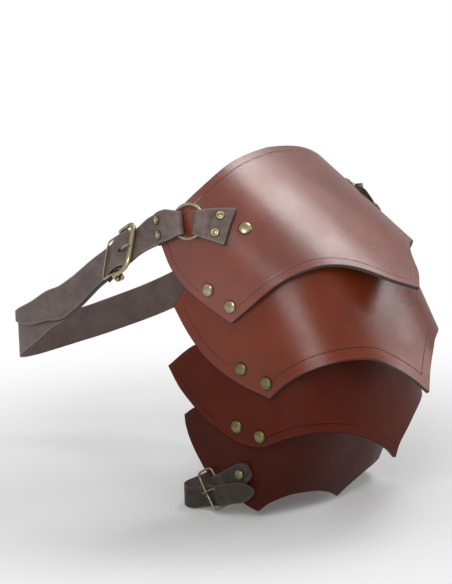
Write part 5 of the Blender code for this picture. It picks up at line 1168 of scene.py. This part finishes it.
def build_arm_tab(plate):
    """The short tab of the arm buckle, with its rivet, frame and prong."""
    flat = arm_flat(plate, FRONT, ARM_TAB_SLOPE_DEG)
    wrap = ARM_WIRE_RADIUS + SEAT_GAP + ARM_STRAP_THICKNESS / 2
    runs, heights = fold_line(ARM_HINGE_HEIGHT, wrap, ARM_INNER, ARM_OUTER, 0.0, ARM_MERGE_LENGTH,
                              ARM_TAB_LENGTH + ARM_TAB_END_LENGTH)
    rounding = np.interp(runs, (ARM_TAB_LENGTH, ARM_TAB_LENGTH + ARM_TAB_END_LENGTH), (0.0, 1.0))
    half = ARM_TAB_HALF_WIDTH * np.sqrt(1.0 - END_ROUNDING_SHARE * rounding**2)
    run, across = spread(ARM_TAB_LENGTH - runs, half)
    axes = flat.matrix(ARM_TAB_LENGTH, ARM_HINGE_HEIGHT)
    punch = slot_punch(ARM_MERGE_LENGTH, ARM_HOLE_WIDTH, 4 * wrap, axes)
    build_strip("arm_buckle_tab", flat.place(run, across, heights[:, None] + 0.0 * across), half,
                len(runs) - 3, flat.facing, "arm_strap_leather", [punch])
    arm_rivet("arm_buckle_tab", flat, ARM_OUTER + ARM_STRAP_THICKNESS / 2)
    lift = ARM_BAR_HEIGHT - ARM_HINGE_HEIGHT
    tall, bend = ARM_FRAME_HALF_LENGTH - ARM_FRAME_CORNER, ARM_FRAME_CORNER
    outline = (corner(ARM_FRAME_REACH - bend, tall, bend, 0.0, 90.0) + corner(bend, tall, bend, 90.0, 180.0)
               + corner(bend, -tall, bend, 180.0, 270.0)
               + corner(ARM_FRAME_REACH - bend, -tall, bend, 270.0, 360.0))
    points = [(x, y, span(x, 0.0, ARM_FRAME_REACH, 0.0, lift)) for x, y in outline]
    wire_piece("arm_buckle_frame", points, ARM_WIRE_RADIUS, axes, "aged_brass", closed=True)
    build_prong("arm_buckle_prong", ARM_WIRE_RADIUS + SEAT_GAP, ARM_PRONG_RADIUS, ARM_FRAME_REACH,
                lift + ARM_WIRE_RADIUS + SEAT_GAP + ARM_PRONG_RADIUS,
                axes @ Matrix.Rotation(math.pi, 4, "Z"), "aged_brass")
    return flat


def arm_rivet(name, flat, face):
    """A smaller, darker domed rivet through leather and plate."""
    rivet(name + "_rivet", "arm", face + PLATE_THICKNESS + SEAT_GAP, flat.place(0.0, 0.0, face),
          flat.facing, "aged_brass")


def build_arm_strap(plate, tab):
    """The arm strap: from the rear of the lowest plate, round the arm, to its pointed tip."""
    front, rear = (arm_flat(plate, side, ARM_STRAP_SLOPE_DEG) for side in (FRONT, REAR))
    slope = math.radians(ARM_STRAP_SLOPE_DEG)
    fall = math.tan(slope)
    x_rivet, half_y = rear.origin[:2]
    tip_x = x_rivet + ARM_TAIL_LENGTH * math.cos(slope) - ARM_TAB_LENGTH
    turn = np.linspace(0.0, math.pi / 2, LOOP_STEPS)
    bend = ARM_LOOP_CORNER
    near = np.stack([x_rivet - ARM_LOOP_REACH + bend - bend * np.sin(turn),
                     -half_y + bend - bend * np.cos(turn)], axis=-1)
    line, lengths = resampled(np.concatenate([[[tip_x, -half_y]], near, near[::-1] * (1.0, -1.0),
                                              [[x_rivet + ARM_TAB_END_LENGTH, half_y]]]),
                              4 * SECTION_SAMPLES)
    front_end, rear_start, total = lengths[1], lengths[-2], lengths[-1]
    tip_z = front.origin[2] - ARM_STRAP_DROP / math.cos(slope) + (tip_x - x_rivet) * fall
    corner_z = tip_z - front_end * fall
    rear_z = rear.origin[2] - (total - rear_start - ARM_TAB_END_LENGTH) * fall

    def drop(run):
        half_turn = np.interp(run, (front_end, rear_start), (0.0, math.pi))
        side = span(run, front_end, rear_start, corner_z, rear_z) - ARM_LOOP_SAG * np.sin(half_turn)
        rear_part = np.where(run > rear_start, rear_z + (run - rear_start) * fall, side)
        return np.where(run < front_end, tip_z - run * fall, rear_part)

    path = StrapPath(line, drop, np.zeros_like)
    over_hinge = ARM_HINGE_HEIGHT + ARM_WIRE_RADIUS + 2 * SEAT_GAP + 1.5 * ARM_STRAP_THICKNESS
    on_tab = ARM_OUTER + ARM_STRAP_THICKNESS + SEAT_GAP

    def height(points):
        """Height from the distance to the hinge bar, along the tab's own direction."""
        ahead = (points - tab.origin) @ tab.along - ARM_TAB_LENGTH
        wire, reach = ARM_WIRE_RADIUS, ARM_FRAME_REACH
        return (span(ahead, -ARM_MERGE_LENGTH - wire, -3 * wire, on_tab, over_hinge)
                + span(ahead, wire, reach - 2 * wire, 0.0, ARM_UNDER_BAR_HEIGHT - over_hinge)
                + span(ahead, reach + wire, 2 * reach + wire, 0.0,
                       ARM_OFF_PLATE_HEIGHT - ARM_UNDER_BAR_HEIGHT))

    rows = np.concatenate([ARM_TIP_LENGTH * np.linspace(0.0, 1.0, TIP_STEPS),
                           even_rows(ARM_TIP_LENGTH, total)[1:]])
    tip = np.interp(rows, (0.0, ARM_TIP_LENGTH), (1.0, 0.0))
    end = np.interp(rows, (total - ARM_TAB_END_LENGTH, total), (0.0, 1.0))
    half = ARM_TIP_HALF_WIDTH + (ARM_STRAP_HALF_WIDTH - ARM_TIP_HALF_WIDTH) * (1.0 - tip**2)
    half = half * np.sqrt(1.0 - END_ROUNDING_SHARE * end**2)
    run, across = spread(rows, half)
    tall = np.where(run < front_end, height(path.place(run, across, 0.0 * run)), ARM_OFF_PLATE_HEIGHT)
    slot = tab.matrix()
    slot.translation += Vector(tab.place(ARM_TAB_LENGTH + ARM_HOLE_LENGTH / 2 + ARM_WIRE_RADIUS, 0.0,
                                         over_hinge) - tab.origin)
    punches = [slot_punch(ARM_HOLE_LENGTH, ARM_HOLE_WIDTH, 2 * over_hinge, slot)]
    for number in range(2):
        middle, _, facing, _ = path.frame(front_end - ARM_LOOP_CORNER - number * ARM_ROUND_HOLE_SPACING)
        punches.append(round_punch(ARM_ROUND_HOLE_RADIUS, PLATE_THICKNESS,
                                   middle + facing * ARM_OFF_PLATE_HEIGHT, facing))
    row = len(rows) // 2
    build_strip("arm_strap", path.place(run, across, tall), half, row, path.frame(rows[row])[2],
                "arm_strap_leather", punches)
    arm_rivet("arm_strap", rear, ARM_OFF_PLATE_HEIGHT + ARM_STRAP_THICKNESS / 2)


class Nodes:
    """A node tree, with short words for the nodes that these finishes use."""

    def __init__(self, tree):
        self.tree = tree

    def give(self, socket, value):
        """Set an input to a number or colour, or link it to another node's output."""
        if isinstance(value, bpy.types.NodeSocket):
            self.tree.links.new(value, socket)
        elif socket.type == "RGBA":
            socket.default_value = (*value, 1.0)
        else:
            socket.default_value = value

    def node(self, kind, inputs=(), **settings):
        """A new node with its settings and, by name or number, its inputs; gives its outputs."""
        made = self.tree.nodes.new("ShaderNode" + kind)
        for label, value in settings.items():
            setattr(made, label, value)
        for label, value in dict(inputs).items():
            self.give(made.inputs[label], value)
        return made.outputs

    def times(self, first, second):
        return self.node("Math", {0: first, 1: second}, operation="MULTIPLY")[0]

    def add(self, first, second, **settings):
        return self.node("Math", {0: first, 1: second}, operation="ADD", **settings)[0]

    def mix(self, first, share, second, other_share):
        """Two values, each times its share, added up."""
        return self.add(self.times(first, share), self.times(second, other_share))

    def span(self, value, low, high, start=0.0, end=1.0):
        """Map low..high to start..end, smoothly and held at both ends."""
        return self.node("MapRange", {"Value": value, "From Min": low, "From Max": high, "To Min": start,
                                      "To Max": end}, interpolation_type="SMOOTHSTEP")["Result"]


class Recipe(Nodes):
    """A material, with textures in the piece's own space."""

    def __init__(self, name):
        self.material = bpy.data.materials.new(name)
        self.material.use_nodes = True
        super().__init__(self.material.node_tree)
        self.shader = self.tree.nodes["Principled BSDF"]
        self.place = self.node("TexCoord")["Object"]

    def noise(self, scale, detail=3.0, roughness=0.55, stretch=None):
        """Cloudy noise from 0 to 1, in lumps of about one over scale metres."""
        place = self.place
        if stretch:
            place = self.node("Mapping", {"Vector": place, "Scale": stretch})["Vector"]
        return self.node("TexNoise", {"Vector": place, "Scale": scale, "Detail": detail,
                                      "Roughness": roughness})["Fac"]

    def pores(self, scale, reach):
        """Pebbles and pores of leather: hollow at scattered points, level from reach on."""
        cells = self.node("TexVoronoi", {"Vector": self.place, "Scale": scale})
        return self.span(cells["Distance"], 0.05, reach)

    def blend(self, share, first, second):
        return self.node("Mix", {0: share, 6: first, 7: second}, data_type="RGBA")[2]

    def relief(self, height, distance, under=None):
        """A bump as high as distance, on top of the one under it."""
        inputs = {"Height": height, "Distance": distance, "Strength": 1.0}
        if under is not None:
            inputs["Normal"] = under
        return self.node("Bump", inputs)["Normal"]

    def marks(self):
        """The piece's own marks: distance to its edge, and to its tooled line."""
        split = self.node("SeparateXYZ", {0: self.node("UVMap", uv_map="marks")["UV"]})
        return split["X"], split["Y"]

    def finish(self, **sockets):
        for label, value in sockets.items():
            self.give(self.shader.inputs[label.replace("_", " ")], value)
        return self.material


def scaled(colour, share, more=0.0):
    """A darker or lighter colour."""
    return tuple(min(1.0, share * channel + more) for channel in colour)


def plate_leather(name, deep, bright, gloss, rough, coat):
    """Thick dyed and waxed leather: blotched colour, fine pores, a dark tooled line and rubbed edge."""
    recipe = Recipe(name)
    edge, line = recipe.marks()
    blotch = recipe.noise(11.0, 3.0, 0.5)
    smoke = recipe.noise(38.0, 3.0, 0.5, (1.0, 1.0, 0.6))
    fine = recipe.noise(420.0, 4.0, 0.65)
    colour = recipe.blend(recipe.span(recipe.mix(blotch, 0.70, smoke, 0.30), 0.26, 0.74), deep, bright)
    grey = tuple(0.5 * (low + high) * 0.72 for low, high in zip(deep, bright))
    colour = recipe.blend(recipe.span(fine, 0.52, 0.78, 0.0, 0.22), colour, grey)
    rubbed = recipe.span(recipe.add(edge, recipe.times(blotch, 0.004)), 0.0030, 0.0060, 0.16, 0.0)
    colour = recipe.blend(rubbed, colour, scaled(bright, 1.25, 0.012))
    burnt = recipe.span(edge, 0.0004, 0.0016, 0.75, 0.0)
    pressed = recipe.span(line, 0.0002, 0.0007, 0.85, 0.0)
    darkened = recipe.node("Math", {0: burnt, 1: pressed}, operation="MAXIMUM")[0]
    colour = recipe.blend(darkened, colour, scaled(deep, 0.22))
    creases = recipe.noise(260.0, 5.0, 0.6)
    scuffs = recipe.span(recipe.noise(55.0, 6.0, 0.75, (1.0, 0.35, 1.0)), 0.60, 0.74)
    normal = recipe.relief(recipe.mix(recipe.pores(1500.0, 0.45), 0.55, creases, 0.45), 0.00007)
    normal = recipe.relief(recipe.span(line, 0.0, 0.0009), 0.00018, normal)
    shine = recipe.span(recipe.noise(24.0, 3.0, 0.5), 0.30, 0.70, rough - 0.05, rough + 0.07)
    shine = recipe.add(shine, recipe.times(scuffs, 0.10))
    return recipe.finish(Base_Color=colour, Roughness=shine, Normal=normal, Specular_IOR_Level=gloss,
                         Coat_Weight=coat, Coat_Roughness=0.30)


def strap_leather(name, deep, bright, gloss):
    """Matt strap leather: dull brown, lengthwise streaks, rubbed lighter at its edges."""
    recipe = Recipe(name)
    edge, _ = recipe.marks()
    blotch = recipe.noise(34.0, 4.0, 0.6)
    streak = recipe.noise(150.0, 4.0, 0.65, (0.4, 0.4, 1.0))
    colour = recipe.blend(recipe.span(recipe.mix(blotch, 0.60, streak, 0.40), 0.36, 0.64), deep, bright)
    rubbed = recipe.span(edge, 0.0006, 0.0022, 0.55, 0.0)
    colour = recipe.blend(rubbed, colour, scaled(bright, 1.35, 0.01))
    creases = recipe.noise(330.0, 5.0, 0.65)
    normal = recipe.relief(recipe.mix(recipe.pores(1700.0, 0.50), 0.5, creases, 0.5), 0.00008)
    shine = recipe.span(blotch, 0.30, 0.70, 0.46, 0.64)
    return recipe.finish(Base_Color=colour, Roughness=shine, Normal=normal, Specular_IOR_Level=gloss)


def raw_leather(name, colour, shade, rough):
    """The flesh side or a cut edge: short fibres, no finish."""
    recipe = Recipe(name)
    fibre = recipe.noise(900.0, 5.0, 0.7)
    cloud = recipe.noise(60.0, 3.0, 0.5)
    share = recipe.span(recipe.mix(fibre, 0.6, cloud, 0.4), 0.35, 0.65)
    return recipe.finish(Base_Color=recipe.blend(share, scaled(colour, shade), colour),
                         Roughness=recipe.span(cloud, 0.3, 0.7, rough, rough + 0.12),
                         Normal=recipe.relief(fibre, 0.00006), Specular_IOR_Level=0.25)


def old_brass(name, bright, dark, rough):
    """Antique brass: a brown film in its hollows, a darkening round the outer part of turned heads that is
    partly patina and partly painted shade, rubbed bright where it is handled, fine scratches.
    """
    recipe = Recipe(name)
    _, rim = recipe.marks()
    film = recipe.noise(170.0, 4.0, 0.55)
    spots = recipe.noise(900.0, 3.0, 0.6)
    share = recipe.mix(film, 0.70, spots, 0.30)
    # Darker where the film lies, and round the outer part of turned heads: partly patina, partly painted
    # shade
    dull = recipe.add(recipe.span(share, 0.40, 0.66, 0.0, 0.55), recipe.span(rim, 0.72, 0.98, 0.0, 0.75),
                      use_clamp=True)
    scratches = recipe.noise(1400.0, 2.0, 0.5, (1.0, 0.25, 1.0))
    shine = recipe.add(recipe.span(share, 0.38, 0.64, rough, rough + 0.14), recipe.times(scratches, 0.06))
    return recipe.finish(Base_Color=recipe.blend(dull, bright, dark), Metallic=1.0, Roughness=shine,
                         Normal=recipe.relief(recipe.mix(spots, 0.6, scratches, 0.4), 0.00002))


def make_looks():
    """Every finish, by its name in the tables."""
    kinds = ((plate_leather, PLATE_LOOKS_WITH_PAINTED_SHADE), (strap_leather, STRAP_LOOKS), (raw_leather, RAW_LOOKS),
             (old_brass, BRASS_LOOKS))
    return {name: make(name + "_look", *values) for make, looks in kinds for name, values in looks.items()}


def add_camera():
    """The camera at the photograph's place: its axes from azimuth, elevation and roll."""
    turn, rise, roll = (math.radians(angle) for angle in VIEW_DEG.values())
    right = Vector((math.cos(turn), math.sin(turn), 0.0))
    ahead = Vector((-math.sin(turn) * math.cos(rise), math.cos(turn) * math.cos(rise), -math.sin(rise)))
    up = Vector((-math.sin(turn) * math.sin(rise), math.cos(turn) * math.sin(rise), math.cos(rise)))
    across = right * math.cos(roll) + up * math.sin(roll)
    above = up * math.cos(roll) - right * math.sin(roll)
    made = bpy.data.cameras.new("photo_camera")
    made.sensor_width = SENSOR
    made.lens = PIXELS_PER_METRE * VIEW_DISTANCE * SENSOR / PHOTO_HEIGHT
    made.clip_end = VIEW_END
    camera = add_object("photo_camera", made)
    axes = Matrix((across, above, -ahead)).transposed().to_4x4()
    camera.matrix_world = Matrix.Translation(Vector(VIEW_TARGET) - ahead * VIEW_DISTANCE) @ axes
    bpy.context.scene.camera = camera


def add_lamps():
    """Square soft boxes, each facing its target."""
    for name, (place, target, size, power) in LAMPS.items():
        lamp = bpy.data.lights.new(name, "AREA")
        lamp.shape = "SQUARE"
        lamp.size = size
        lamp.energy = power
        made = add_object(name, lamp)
        made.location = place
        made.rotation_euler = (Vector(target) - Vector(place)).to_track_quat("-Z", "Y").to_euler()


def add_room(floor_height):
    """A white background, and a white floor that keeps the shadow and fades into it."""
    world = bpy.data.worlds.new("studio")
    bpy.context.scene.world = world
    world.use_nodes = True
    world.node_tree.nodes.clear()
    nodes = Nodes(world.node_tree)
    seen, light = (nodes.node("Background", {"Color": WHITE, "Strength": strength})[0]
                   for strength in (1.0, ROOM_LIGHT))
    rays = nodes.node("LightPath")
    either = nodes.node("Math", {0: rays["Is Camera Ray"], 1: rays["Is Transmission Ray"]},
                        operation="MAXIMUM")[0]
    glossy = nodes.node("Math", {0: rays["Is Glossy Ray"], 1: GLOSSY_SHARE, 2: either},
                        operation="MULTIPLY_ADD", use_clamp=True)[0]
    nodes.node("OutputWorld", {0: nodes.node("MixShader", {0: glossy, 1: light, 2: seen})[0]})

    mesh = bpy.data.meshes.new("studio_floor")
    mesh.from_pydata([(x * FLOOR_HALF, y * FLOOR_HALF, floor_height)
                      for x, y in ((-1, -1), (1, -1), (1, 1), (-1, 1))], [], [(0, 1, 2, 3)])
    floor = add_object("studio_floor", mesh)
    recipe = Recipe("studio_floor_look")
    recipe.finish(Base_Color=FLOOR_COLOUR, Roughness=0.9, Specular_IOR_Level=0.1)
    centred = recipe.node("Mapping", {"Vector": recipe.place,
                                      "Location": (-FLOOR_CENTRE_X, 0.0, -floor_height)})["Vector"]
    far = recipe.node("VectorMath", {0: centred}, operation="LENGTH")["Value"]
    faded = recipe.times(recipe.span(far, *FLOOR_FADE), recipe.node("LightPath")["Is Camera Ray"])
    glow = recipe.node("Emission", {"Color": WHITE, "Strength": 1.0})[0]
    mixed = recipe.node("MixShader", {0: faded, 1: recipe.shader.outputs["BSDF"], 2: glow})[0]
    recipe.give(recipe.tree.nodes["Material Output"].inputs["Surface"], mixed)
    mesh.materials.append(recipe.material)


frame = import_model()
solid_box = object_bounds()
LOOKS = make_looks()

plates = chain_plates()
for plate in plates:
    build_plate(plate)
rivet_plates()
front_seat = RingSeat(plates[0], FRONT_RING_ALONG, FRONT)
rear_seat = RingSeat(plates[0], REAR_RING_ALONG, REAR)
for end, seat in (("front", front_seat), ("rear", rear_seat)):
    build_tab(f"{end}_tab", seat)
    build_large_rivet(f"{end}_large_rivet", seat)
    build_ring(f"{end}_ring", seat)
chest_path = ChestPath(front_seat, rear_seat)
build_billet(chest_path)
build_buckle_strap(chest_path)
build_chest_buckle(chest_path)
arm_tab = build_arm_tab(plates[-1])
build_arm_strap(plates[-1], arm_tab)

add_camera()
add_room(solid_box[0][2] - SEAT_GAP)
add_lamps()
bpy.context.scene.view_settings.view_transform = "Standard"
